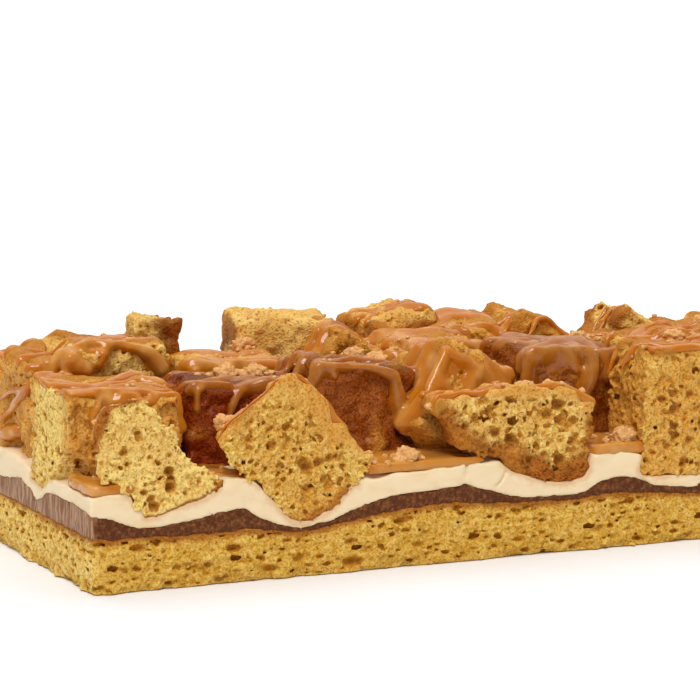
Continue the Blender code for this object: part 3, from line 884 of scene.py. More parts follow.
@dataclass(frozen=True)
class Chunk:
    """A torn cube of sponge: middle and sides in mm, turn in degrees.

    A tear is a direction and what is left of the chunk that way, a crust a side and how deep it is browned.
    A chunk that the front face cuts has an outline there, as distance from the left end and height, reaches
    from it to a depth and tapers towards that. Lines on the same face tell where it is browned or glazed and
    how wide, and its hollows are large pores that show there. Nibbles is how many bits have broken off its
    edges by chance, bites are further ones, and ragged is how far its torn faces swell. Open is how far its
    pores show, pale how light its crumb is, soak how much caramel it has drunk, wet are its soaked sides,
    dark is how dark they are, and dry are balls that stayed dry. Caramel is how much of the strands it bears,
    coat how far it is dipped, and step the spacing of its samples.
    """

    name: str
    middle: Point
    sides: Point
    turn: Point = (0.0, 0.0, 0.0)
    tears: tuple[tuple[Point, float], ...] = ()
    crusts: tuple[tuple[Side, float], ...] = ((Side.TOP, 1.2),)
    outline: Line = ()
    depth: float = 12.0
    taper: float = 0.1
    browned: tuple[tuple[Line, float], ...] = ()
    glazed: tuple[tuple[Line, float], ...] = ()
    hollows: tuple[tuple[Spot, float], ...] = ()
    nibbles: int = 7
    open: float = 1.0
    pale: float = 0.3
    soak: float = 0.35
    wet: tuple[Side, ...] = ()
    dark: float = 0.0
    caramel: float = 0.8
    coat: float = 0.0
    step: float = 0.75
    ragged: float = 1.9
    bites: tuple[tuple[Point, float], ...] = ()
    dry: tuple[tuple[Point, float], ...] = ()

    # The radius of a cube's edges, and of a cut chunk's rim
    ROUNDING = 2.6
    RIM = 1.0

    @cached_property
    def rotation(self) -> np.ndarray:
        """The chunk's turn as a matrix."""
        return np.array(Euler([math.radians(angle) for angle in self.turn]).to_matrix())

    @property
    def reach(self) -> float:
        """How far the chunk's corners lie from its middle."""
        return math.sqrt(sum(side * side for side in self.sides)) / 2

    @cached_property
    def corners(self) -> tuple[list[float], list[float]]:
        """The lowest and highest corner of the chunk."""
        if self.outline:
            across, up = zip(*self.outline)
            return [min(across), 0.0, min(up)], [max(across), self.depth, max(up)]
        half = [sum(abs(self.rotation[axis][k]) * self.sides[k] / 2 for k in range(3)) for axis in range(3)]
        return [m - h for m, h in zip(self.middle, half)], [m + h for m, h in zip(self.middle, half)]

    @cached_property
    def bitten(self) -> list[tuple[np.ndarray, float]]:
        """Places along the edges where crumb has broken off: middles and radii."""
        if self.outline:
            return []
        draw = np.random.RandomState(sum(ord(letter) * (k + 3) for k, letter in enumerate(self.name)))
        found = []
        for _ in range(self.nibbles):
            place = np.array([draw.choice((-0.5, 0.5)) for _ in range(3)])
            place[2] = 0.5 if draw.uniform() < 0.7 else place[2]
            place[draw.choice((0, 1, 2), p=(0.4, 0.4, 0.2))] = draw.uniform(-0.5, 0.5)
            radius = draw.uniform(3.0, 6.5)
            away = place / np.linalg.norm(place) * radius * draw.uniform(0.35, 0.7)
            found.append((np.array(self.middle) + self.rotation @ (place * self.sides + away), radius))
        return found + [(np.array(middle), radius) for middle, radius in self.bites]

    def local(self, axes: Sequence[np.ndarray]) -> list[np.ndarray]:
        """Turns places, given as the three coordinates, into the chunk's own axes from its middle."""
        x, y, z = (axis - np.float32(middle) for axis, middle in zip(axes, self.middle))
        return [a * x + b * y + c * z for a, b, c in self.rotation.T.astype(np.float32)]

    def plain(self, axes: Sequence[np.ndarray]) -> np.ndarray:
        """The distance field of the chunk with its tears, without relief.

        Args:
            axes: The three coordinates, as arrays.

        Returns:
            The field.
        """
        if self.outline:
            flat = outline_distance(axes[0], axes[2], self.outline) + np.maximum(axes[1], 0.0) * self.taper
            return self._rounded([flat + self.RIM, axes[1] - (self.depth - self.RIM)], self.RIM)
        places = zip(self.local(axes), self.sides)
        result = self._rounded([np.abs(a) - (side / 2 - self.ROUNDING) for a, side in places], self.ROUNDING)
        for direction, kept in self.tears:
            normal = np.array(direction) / np.linalg.norm(direction)
            reach = sum(part * (axis - middle) for part, axis, middle in zip(normal, axes, self.middle))
            result = np.maximum(result, reach - kept)
        for middle, radius in self.bitten:
            away = sum((axis - part) ** 2 for axis, part in zip(axes, middle))
            result = np.maximum(result, radius - np.sqrt(away))
        return result

    @staticmethod
    def _rounded(beyond: Sequence[np.ndarray], radius: float) -> np.ndarray:
        """Joins the fields of a body's sides, moved in by a radius, into one with edges of that radius."""
        outside = np.sqrt(sum(np.maximum(part, 0.0) ** 2 for part in beyond))
        return outside + np.minimum(reduce(np.maximum, beyond), 0.0) - radius

    def glaze(self, axes: Sequence[np.ndarray], uneven: np.ndarray) -> np.ndarray:
        """How far thin caramel has soaked in from the glazed edges.

        Args:
            axes: The three coordinates, as arrays.
            uneven: Noise at those places.

        Returns:
            From 0 to 1 for each place.
        """
        result = np.zeros(np.broadcast(*axes).shape, np.float32)
        for line, width in self.glazed:
            gap = line_distance(axes[0], axes[2], line) + uneven * 1.2
            result = np.maximum(result, smooth_step(gap, width, width * 0.3))
        return result

    def crust(self, axes: Sequence[np.ndarray], uneven: np.ndarray) -> np.ndarray:
        """How browned the chunk is.

        Args:
            axes: The three coordinates, as arrays.
            uneven: Noise at those places.

        Returns:
            From 0 to 1 for each place.
        """
        if self.outline:
            gaps = [(line_distance(axes[0], axes[2], line), width, 0.35) for line, width in self.browned]
        else:
            gaps = [(self.inward(side, axes), width, 0.4) for side, width in self.crusts]
        result = np.zeros(np.broadcast(*axes).shape, np.float32)
        for gap, width, full in gaps:
            gap = gap + uneven * (0.3 + width * 0.25)
            result = np.maximum(result, smooth_step(gap, width, width * full))
        return result

    def inward(self, side: Side, axes: Sequence[np.ndarray]) -> np.ndarray:
        """How far places, given as the three coordinates, lie inside one side of the chunk."""
        axis, way = side.value
        return self.sides[axis] / 2 - way * self.local(axes)[axis]


CHUNKS = (
    # The front row, cut flush with the front face
    Chunk(
        "front_1", (22, 4.5, 41), (32, 15, 35), (0, -21, 0),
        outline=(
            (1.5, 47.8), (3.8, 52.6), (6.9, 57), (12.9, 59), (18.6, 59.2), (20.5, 56.1), (22, 54.8),
            (22.4, 53.6), (24.9, 50.1), (26.4, 49.6), (29.1, 46.4), (30.3, 43), (33.8, 39.1), (37.4, 37.6),
            (40.6, 34), (44.2, 32.2), (41.2, 29.1), (37.3, 26.7), (30.2, 25.1), (23.1, 22.6), (17.7, 22.1),
            (16.4, 24.6), (14.2, 25.1), (12.8, 28.6), (11.4, 29.9), (7.9, 32.6), (4.5, 33.8), (2.9, 37.2),
            (2.3, 40.6), (3.6, 44), (1.2, 45.2),
        ),
        browned=(
            (((1.4, 44), (1.5, 47.8), (6.9, 57), (12.9, 59), (18.6, 59.2)), 2.3),
            (((44.2, 32.2), (37.3, 26.7), (30.2, 25.1), (23.1, 22.6), (17.7, 22.1)), 1.4),
        ),
        hollows=(
            ((25.5, 35.9), 1.7), ((25.9, 33.6), 1.5), ((26.1, 31.2), 1.9), ((20.6, 25.8), 1.7),
            ((19.8, 28.3), 1.3), ((16, 46.5), 1.1), ((10.2, 38.3), 1), ((35, 32), 1.1),
        ),
        taper=0.3, pale=1.5, soak=0, caramel=0, step=0.4, ragged=1,
    ),
    Chunk(
        "front_2", (68, 4.5, 38.8), (32, 15, 34.5), (0, -37, 0),
        outline=(
            (40.3, 44.4), (44.2, 48.7), (51.4, 53.7), (57.6, 58.4), (60.2, 61.6), (64.5, 62.8), (68.4, 62),
            (71.7, 59.3), (75.7, 54.7), (78, 51.5), (79.6, 47.7), (84.3, 43.4), (88.3, 40), (92, 36.9),
            (93.3, 33.4), (91, 30.2), (87.6, 27.6), (83, 24.3), (79.3, 20.5), (75, 18.3), (69.7, 16.7),
            (65, 17.7), (63.1, 19.7), (57.5, 25.7), (53.3, 30.1), (50, 31.9), (46.1, 35.7), (42.6, 39.7),
        ),
        browned=(
            (((69.5, 16.5), (75, 18), (79.3, 20.2), (83, 24)), 3.2),
            (((40.3, 44.4), (44.2, 48.7), (51.4, 53.7), (57.6, 58.4), (60.2, 61.6)), 1.2),
        ),
        glazed=(
            (((41.5, 45.5), (51.4, 53.7), (57.6, 58.4)), 3.6),
            (((60.2, 61.6), (64.5, 62.8), (68.4, 62)), 9),
            (((68.4, 62), (71.7, 59.3), (75.7, 54.7), (79.6, 47.7), (84.3, 43.4), (88.3, 40)), 6.5),
        ),
        hollows=(
            ((70.4, 33.9), 2), ((69.2, 36.2), 1.5), ((57.9, 46.5), 1.2), ((64.4, 42.9), 1),
            ((51.4, 43.9), 1.2), ((76, 29.8), 1.2), ((62.8, 30.8), 1.1), ((82.5, 33.5), 1.1),
        ),
        taper=0.32, open=1.25, soak=0.3, caramel=0.5, step=0.4, ragged=1,
    ),
    Chunk(
        "front_3", (141.5, 6, 37.2), (54, 18, 30), (0, 2.5, 0),
        outline=(
            (112.5, 47.9), (115.2, 51.7), (122.4, 53.1), (129.6, 52.6), (135.4, 53.8), (146.1, 53.7),
            (156.2, 53), (163.6, 49.7), (168.2, 46.8), (168.6, 41.1), (167.9, 34.8), (168.3, 30.3),
            (167.3, 25.9), (164.9, 23.2), (158.9, 22.4), (151.6, 23), (146.7, 24.6), (140.4, 27.3),
            (135.5, 30.9), (129.7, 32.2), (123.8, 35.2), (119.7, 37.1), (119, 39.9), (115.6, 45.5),
        ),
        depth=15,
        browned=(
            (((112.5, 47.9), (115.6, 45.5), (119, 39.9), (119.7, 37.1), (123.8, 35.2), (129.7, 32.2),
              (135.5, 30.9)), 8),
            (((135.5, 30.9), (140.4, 27.3), (146.7, 24.6), (151.6, 23), (158.9, 22.4), (164.9, 23.2)),
             11),
            (((164.9, 23.2), (167.3, 25.9), (168.3, 30.3), (167.9, 34.8), (168.6, 41.1)), 4),
        ),
        glazed=(
            (((112.5, 47.9), (115.2, 51.7), (122.4, 53.1), (135.4, 53.8), (156.2, 53), (163.6, 49.7),
              (168.2, 46.8)), 4.2),
        ),
        hollows=(
            ((131.6, 47.2), 1.7), ((123.4, 42.7), 1.3), ((126.9, 45.3), 1.4), ((134.1, 40.1), 1.6),
            ((139.3, 37.5), 1.9), ((141.2, 36.2), 1.3), ((148, 35), 1.3), ((156.4, 29.6), 1.9),
            ((161.3, 32.7), 1.3), ((145.6, 30.7), 1.4), ((150.8, 31.9), 1.2), ((136.8, 45.5), 1.1),
            ((164.8, 27.7), 1.2), ((151, 41), 1), ((158.5, 44), 0.9),
        ),
        open=1.5, pale=1.2, soak=0.2, caramel=0.7, step=0.42, ragged=1,
    ),
    Chunk(
        "front_4", (202, 11, 42), (33, 28, 41), (0, 3, 0), soak=0.6, caramel=0.9, crusts=((Side.TOP, 3.6),),
        wet=(Side.LEFT,),
        hollows=(
            ((197, 42.9), 1.9), ((192.6, 46.4), 1.6), ((202.2, 32.9), 1.5), ((194.3, 31.3), 1.3),
            ((200.1, 25.7), 1.8), ((202.7, 47.3), 1.4), ((207, 38), 1.7),
        ),
        open=1.25, step=0.5, ragged=1.5,
        bites=(((184.5, -1, 63), 5.5), ((184.5, 12, 64.5), 4.5), ((200, 24, 65), 5)),
    ),
    Chunk("front_5", (238, 12, 41), (29, 31, 33), (0, 31, 0), step=0.6),
    Chunk("front_6", (270, 13, 41), (30, 30, 34), (0, -12, 0), step=0.6),
    # The second row
    Chunk("second_1", (16.5, 37, 41), (41, 34, 33), (3, 2, -2), (((-0.5, -0.5, -0.7), 15.7),),
          ((Side.TOP, 0.8),), open=1.1, soak=0.75, wet=(Side.FRONT, Side.TOP), pale=1.8, caramel=1,
          coat=0.1, nibbles=9, step=0.55, ragged=2.3,
          bites=(((-2.5, 20, 59.5), 5), ((-1.5, 31, 61), 4.5), ((6.5, 16.5, 45), 3.6),
                 ((-2.5, 22, 38), 4)),
          dry=(((-6, 37, 50), 15), ((-6, 37, 36), 15))),
    Chunk("second_2", (62, 38, 39.5), (40, 33, 34), (0, 3, -4), (), ((Side.TOP, 2),),
          open=0.3, soak=1, wet=(Side.FRONT, Side.LEFT, Side.TOP), dark=1, caramel=1, coat=0.1, step=0.6),
    Chunk("second_3", (101, 41, 42.5), (38, 32, 32), (-4, 8, 0), (), ((Side.TOP, 1),),
          open=0.25, soak=1, wet=(Side.FRONT, Side.LEFT), dark=0.85, caramel=0.9, nibbles=3, step=0.6),
    Chunk("second_4", (130, 34, 43), (31, 32, 33), (-18, 30, 6), (), ((Side.LEFT, 2),),
          soak=0.7, wet=(Side.LEFT, Side.FRONT), caramel=1, coat=0.55, step=0.55),
    Chunk("second_5", (173, 42, 43), (35, 32, 34), (0, 3, 5), (), ((Side.TOP, 1.5),),
          open=0.5, soak=0.9, wet=(Side.FRONT, Side.LEFT), dark=0.8, caramel=1.2, coat=0.42, step=0.6),
    Chunk("second_6", (222, 49, 42), (34, 33, 34), (5, -4, 8)),
    Chunk("second_7", (255, 48, 43), (30, 32, 34), (-20, 8, 12), coat=0.3),
    Chunk("second_8", (282, 52, 42), (26, 34, 33), (0, 6, 3)),
    # The third row
    Chunk("third_1", (10, 74, 46), (16, 32, 33), (0, -3, 0), (), ((Side.TOP, 2),),
          soak=0.85, pale=0.5, wet=(Side.LEFT,), dark=0.1, caramel=0.9, step=0.55, ragged=2.6),
    Chunk("third_2", (29, 73, 48), (38, 30, 36), (0, 2, 3), (((-0.6, 0, 0.8), 19),), ((Side.TOP, 0.8),),
          soak=0.35, pale=1.4, caramel=0.6, coat=0.2, nibbles=9, step=0.55, ragged=2.4),
    Chunk("third_3", (73, 75, 42), (34, 28, 31), (0, 2, -4), crusts=(), pale=0.8, caramel=1.1, coat=0.45),
    Chunk("third_4", (116, 76, 45.5), (32, 28, 30), (0, 31.6, 0), (), ((Side.LEFT, 2), (Side.TOP, 1.5)),
          soak=0.7, coat=0.2, step=0.6),
    Chunk("third_5", (147, 76, 44), (30, 28, 32), (6, -5, 8), coat=0.5, soak=0.6),
    Chunk("third_6", (186, 75, 40), (34, 28, 32), (-8, 4, -6)),
    Chunk("third_7", (217, 80, 40), (24, 24, 30), (0, -8, 4)),
    Chunk("third_8", (247, 77, 39), (28, 30, 32), (10, -20, 6), soak=0.6),
    Chunk("third_9", (275, 78, 42), (28, 30, 33), (0, 5, -8)),
    # The back row
    Chunk("back_1", (19, 99, 42), (33, 26, 32), (0, 4, 5)),
    Chunk("back_2", (58.5, 98, 50), (16, 20, 38), (0, 0, -10), (((-0.7, 0, 0.7), 17),), ((Side.RIGHT, 11),),
          open=0.8, pale=1, soak=0.3, dark=0.25, caramel=0, nibbles=12, step=0.55,
          bites=(((60.5, 92, 71.5), 5), ((60.5, 102, 71.5), 5), ((68.5, 90, 62), 4),
                 ((49, 90, 60), 4))),
    Chunk("back_3", (100, 96, 49), (32, 28, 35), (0, 3, -12), (), ((Side.LEFT, 0.7),),
          open=0.15, pale=1.3, soak=0.4, caramel=0, nibbles=3, step=0.6, ragged=1.2),
    Chunk("back_4", (144, 98, 48), (23, 26, 36), (0, -10, 15), (), ((Side.LEFT, 2),),
          open=0.8, pale=0.9, soak=0.5, coat=0.2, step=0.6, ragged=2.4),
    Chunk("back_5", (166, 99, 45), (28, 24, 32), (6, 4, 0), soak=0.7, coat=0.5, step=0.6),
    Chunk("back_6", (192, 97, 43), (32, 28, 31), (0, 28, 0), (), ((Side.LEFT, 2), (Side.TOP, 2)),
          soak=0.7, step=0.6, ragged=2.4),
    Chunk("back_7", (228, 98, 44), (26, 26, 30), (0, 35, 0), (), ((Side.LEFT, 2),),
          soak=0.3, pale=1, caramel=0.5, nibbles=8, step=0.6, ragged=2.2),
    Chunk("back_8", (257, 100, 38), (28, 24, 30), (8, 5, 6)),
    Chunk("back_9", (280, 99, 41), (28, 26, 32), (0, -10, 4), soak=0.6),
)


@dataclass
class Heap:
    """All the chunks together, as one field that the cream and the caramel follow."""

    step: float = 0.65
    low: float = 14.0
    high: float = 74.0
    margin: float = 6.0
    swell: Noise = field(default_factory=lambda: Noise(11, 9.0))

    @cached_property
    def grid(self) -> Grid:
        """The samples over the whole strip."""
        return Grid.over(2.0, self.low, self.high, self.step)

    @cached_property
    def pair(self) -> tuple[np.ndarray, np.ndarray]:
        """The field of all the chunks, without fine relief, and the number of the nearest chunk."""
        result = np.full(self.grid.counts, FAR, np.float32)
        owner = np.full(self.grid.counts, -1, np.int8)
        swell = self.swell.on(self.grid) * smooth_step(self.grid.axes[2], SUNK_LEVEL, BARE_LEVEL)
        for index, chunk in enumerate(CHUNKS):
            low, high = (np.array(corner) for corner in chunk.corners)
            found = self.grid.window(low - self.margin, high + self.margin)
            if found:
                part, grid = found
                plain = chunk.plain(grid.axes) + swell[part] * chunk.ragged
                nearer = plain < result[part]
                result[part] = np.where(nearer, plain, result[part])
                owner[part] = np.where(nearer, np.int8(index), owner[part])
        return np.maximum(result, strip_sides(self.grid)), owner

    @property
    def distance(self) -> np.ndarray:
        """The field of all the chunks."""
        return self.pair[0]

    def of_owner(self, values: Sequence[float], cream: float) -> np.ndarray:
        """Spreads one number a chunk over the samples nearest to it, and one for the cream over the rest."""
        return np.array([*values, cream], np.float32)[self.pair[1]]


def strip_sides(grid: Grid) -> np.ndarray:
    """The field of the strip's four cut sides on a grid."""
    beside, across = (np.abs(line - size / 2) - size / 2 for line, size in zip(grid.axes, (LENGTH, DEPTH)))
    return np.maximum(beside, across).astype(np.float32)


@dataclass
class ChunkMaker:
    """Turns each chunk into porous torn sponge."""

    caramel: "Caramel"
    crag: Noise = field(default_factory=lambda: Noise(11, 9.0))
    lump: Noise = field(default_factory=lambda: Noise(12, 3.4))
    grit: Noise = field(default_factory=lambda: Noise(13, 1.3))
    froth: Noise = field(default_factory=lambda: Noise(14, 0.9))
    grains: Pores = field(default_factory=lambda: Pores(21, PoreSize(1.25, 0.35, 0.75)))
    holes: Pores = field(default_factory=lambda: Pores(25, PoreSize(2.1, 0.3, 0.8, 0.6)))
    bubbles: Pores = field(default_factory=lambda: Pores(22, PoreSize(4.2, 0.7, 1.4, 0.5), 1.2))

    # How far the samples reach beyond a chunk, and past the strip's sides, in mm
    MARGIN = 1.8
    PAST = 1.5
    # How far the pores of one chunk are moved from those of the last
    SHIFT = (13.7, 7.9, 5.3)
    # Chunks with samples closer than the step keep a larger share of their triangles
    FINE_STEP = 0.5
    FINE_KEPT = 0.38
    COARSE_KEPT = 0.29

    def make(self, index: int, chunk: Chunk, material: bpy.types.Material) -> None:
        """Builds one chunk and puts it into the scene.

        Args:
            index: The chunk's number, which seeds its pores.
            chunk: The chunk.
            material: The sponge's finish.
        """
        grid = self._grid(chunk)
        z = grid.axes[2]
        body, clear = self._parted(chunk, grid)
        lump = self.lump.on(grid)
        froth = self.froth.on(grid)
        sides = strip_sides(grid)
        hidden = smooth_step(clear, 2.6, 1.2)
        bare = smooth_step(z, SUNK_LEVEL, BARE_LEVEL)
        cut = smooth_step(sides, -2.2, -0.6)
        crusted = chunk.crust(grid.axes, lump) * (1.0 - cut)
        glaze = chunk.glaze(grid.axes, lump)
        torn = 1.0 - crusted * 0.6
        body = body + (self.crag.on(grid) * chunk.ragged + lump * 1.2 * torn) * bare
        open_faces = np.maximum(bare, cut)
        body = np.maximum(body, sides + (0.3 + lump * 0.3) * open_faces)
        bare_crumb = open_faces * (1.0 - hidden) * (1.0 - glaze * 0.8)
        body = np.maximum(body + self.grit.on(grid) * 0.5 * torn * bare_crumb, z - HEIGHT + 0.4)
        shift = [index * part for part in self.SHIFT]
        relief = bare_crumb * (0.35 + 0.65 * chunk.open) * (1.0 - crusted * 0.4)
        grained = body + grain_relief(self.grains.on(grid, shift), froth) * relief
        shut = crusted * 0.7 + (1.0 - chunk.open) + hidden * 3.0 + glaze * 1.5
        holes = self.holes.on(grid, shift) + froth * 0.35 - shut * 0.8 + shallow(body, 1.5)
        bubbles = self.bubbles.on(grid, shift) + froth * 0.35 - shut * 1.5 + shallow(body, 2.4)
        pores = np.maximum(holes, bubbles)
        for (across, up), radius in chunk.hollows:
            x, y, _ = grid.axes
            away = np.sqrt((x - across) ** 2 + ((y - 0.6) * 0.7) ** 2 + (z - up) ** 2)
            pores = np.maximum(pores, radius - away + lump * 0.5 + froth * 0.3)
        pores = np.where(open_faces > 0.02, pores, NO_PORE)
        kept = self.FINE_KEPT if chunk.step < self.FINE_STEP else self.COARSE_KEPT
        skin = Skin.of(fill_hollows(np.maximum(grained, pores)), grid).thinned(kept)
        name = "chunk_" + chunk.name
        marks = self._marks(chunk, skin, grid, body)
        add_piece(name, skin, material, ["sponge_" + name], marks)

    def _grid(self, chunk: Chunk) -> Grid:
        """Lays samples round one chunk, hardly past the strip's sides.

        Args:
            chunk: The chunk.

        Returns:
            The samples.
        """
        lowest = (-self.PAST, -self.PAST, 0.0)
        highest = (LENGTH + self.PAST, DEPTH + self.PAST, HEIGHT)
        low = tuple(max(part - self.MARGIN, end) for part, end in zip(chunk.corners[0], lowest))
        high = tuple(min(part + self.MARGIN, end) for part, end in zip(chunk.corners[1], highest))
        return Grid(low, high, chunk.step)

    def _parted(self, chunk: Chunk, grid: Grid) -> tuple[np.ndarray, np.ndarray]:
        """Cuts a chunk off halfway to its neighbours.

        Args:
            chunk: The chunk.
            grid: The samples round it.

        Returns:
            Its field without relief, and the distance to the nearest neighbour.
        """
        plain = np.broadcast_to(chunk.plain(grid.axes), grid.counts)
        body = plain
        clear = np.full(grid.counts, FAR, np.float32)
        for other in CHUNKS:
            if other is not chunk and math.dist(other.middle, chunk.middle) < other.reach + chunk.reach + 4:
                beside = other.plain(grid.axes)
                body = np.maximum(body, (plain - beside) / 2 + GAP / 2)
                clear = np.minimum(clear, beside)
        return body, clear

    def _marks(self, chunk: Chunk, skin: Skin, grid: Grid, body: np.ndarray) -> dict[str, np.ndarray]:
        """The numbers that the sponge's finish reads.

        Args:
            chunk: The chunk.
            skin: Its surface.
            grid: The samples round it.
            body: Its field without pores.

        Returns:
            A number for each point of the surface, by the mark's name.
        """
        points = skin.points
        uneven = self.lump.at(points)
        wide = self.crag.at(points)
        syrup = self.caramel.grid.read(self.caramel.distance, points)
        soaked = smooth_step(syrup + uneven * 1.2 + wide * 1.5, 1.0 + 4.5 * chunk.soak, 0.2)
        sides = np.minimum(points, np.array([LENGTH, DEPTH, FAR]) - points)[:, :2].min(axis=1)
        away = 1.0 - smooth_step(sides, 1.8, 0.9)
        for side in chunk.wet:
            gap = chunk.inward(side, points.T) + uneven * 1.5 + wide * 1.0
            soaked = np.maximum(soaked, smooth_step(gap, 4.0, 1.0) * away)
        glaze = chunk.glaze(points.T, uneven)
        soak = soaked * (0.35 + 0.65 * chunk.soak) + chunk.soak * 0.4 * away + glaze * 0.75
        for middle, radius in chunk.dry:
            gap = np.linalg.norm(points - np.array(middle), axis=1) + uneven * 1.5
            soak = soak * smooth_step(gap, radius * 0.7, radius * 1.2)
        return {
            # Depth below the smooth surface, which the finish turns into painted shade in pits
            "pit_shade": -grid.read(body, points),
            "crust": chunk.crust(points.T, uneven),
            "soak": np.clip(soak, 0.0, 1.0),
            "dark": chunk.dark * away * smooth_step(wide, -1.2, -0.3),
            "pale": np.full(len(points), chunk.pale),
        }


# The layers

# Heights of the layers' tops along the front face: distance from the left end and height
FRONT_BASE_TOP = (
    (0, 18), (7, 16.8), (16, 17.2), (25, 16.7), (35, 16.5), (43, 16.4), (50, 17), (61, 15.6), (68, 14.6),
    (78, 15.5), (84, 16.5), (93, 17.9), (101, 18.7), (110, 19.2), (118, 19.7), (124, 19.3), (132, 18.2),
    (139, 18), (146, 17.7), (161, 17.2), (170, 18), (177, 18.2), (190, 17.3), (206, 15.5),
)
FRONT_FILLING_TOP = (
    (0, 24.6), (7, 23.2), (12, 21), (16, 19.8), (25, 19.8), (35, 21.3), (43, 22.8), (50, 23.1), (55, 19.9),
    (61, 17.4), (68, 15.6), (78, 17), (84, 19.5), (93, 22.1), (101, 23.5), (118, 24.3), (124, 24.7),
    (132, 22.2), (139, 20.1), (146, 19), (161, 18.6), (166, 19.6), (170, 22.1), (177, 23.4), (183, 22.6),
    (190, 19.5), (206, 17.6),
)
FRONT_CREAM_TOP = (
    (0, 30), (7, 30.6), (30, 30.8), (43, 32.8), (50, 32), (80, 29.5), (93, 28.5), (101, 29.9),
    (118, 30.4), (124, 31.3), (132, 31.2), (150, 31), (170, 31), (177, 31.4), (185, 29.6), (206, 28.5),
)

# The same along the left end: distance from the front face and height
LEFT_FILLING_TOP = (
    (0, 24.8), (9, 25.2), (26, 25.9), (40, 25.1), (45, 22.4), (49, 21.3), (54, 23), (62, 25.5), (81, 23.2),
    (96, 24.6), (110, 24),
)
LEFT_CREAM_TOP = (
    (0, 29.6), (9, 29.2), (26, 29.8), (39, 29.2), (46, 27.4), (53, 28.4), (62, 30.8), (76, 32), (110, 31),
)


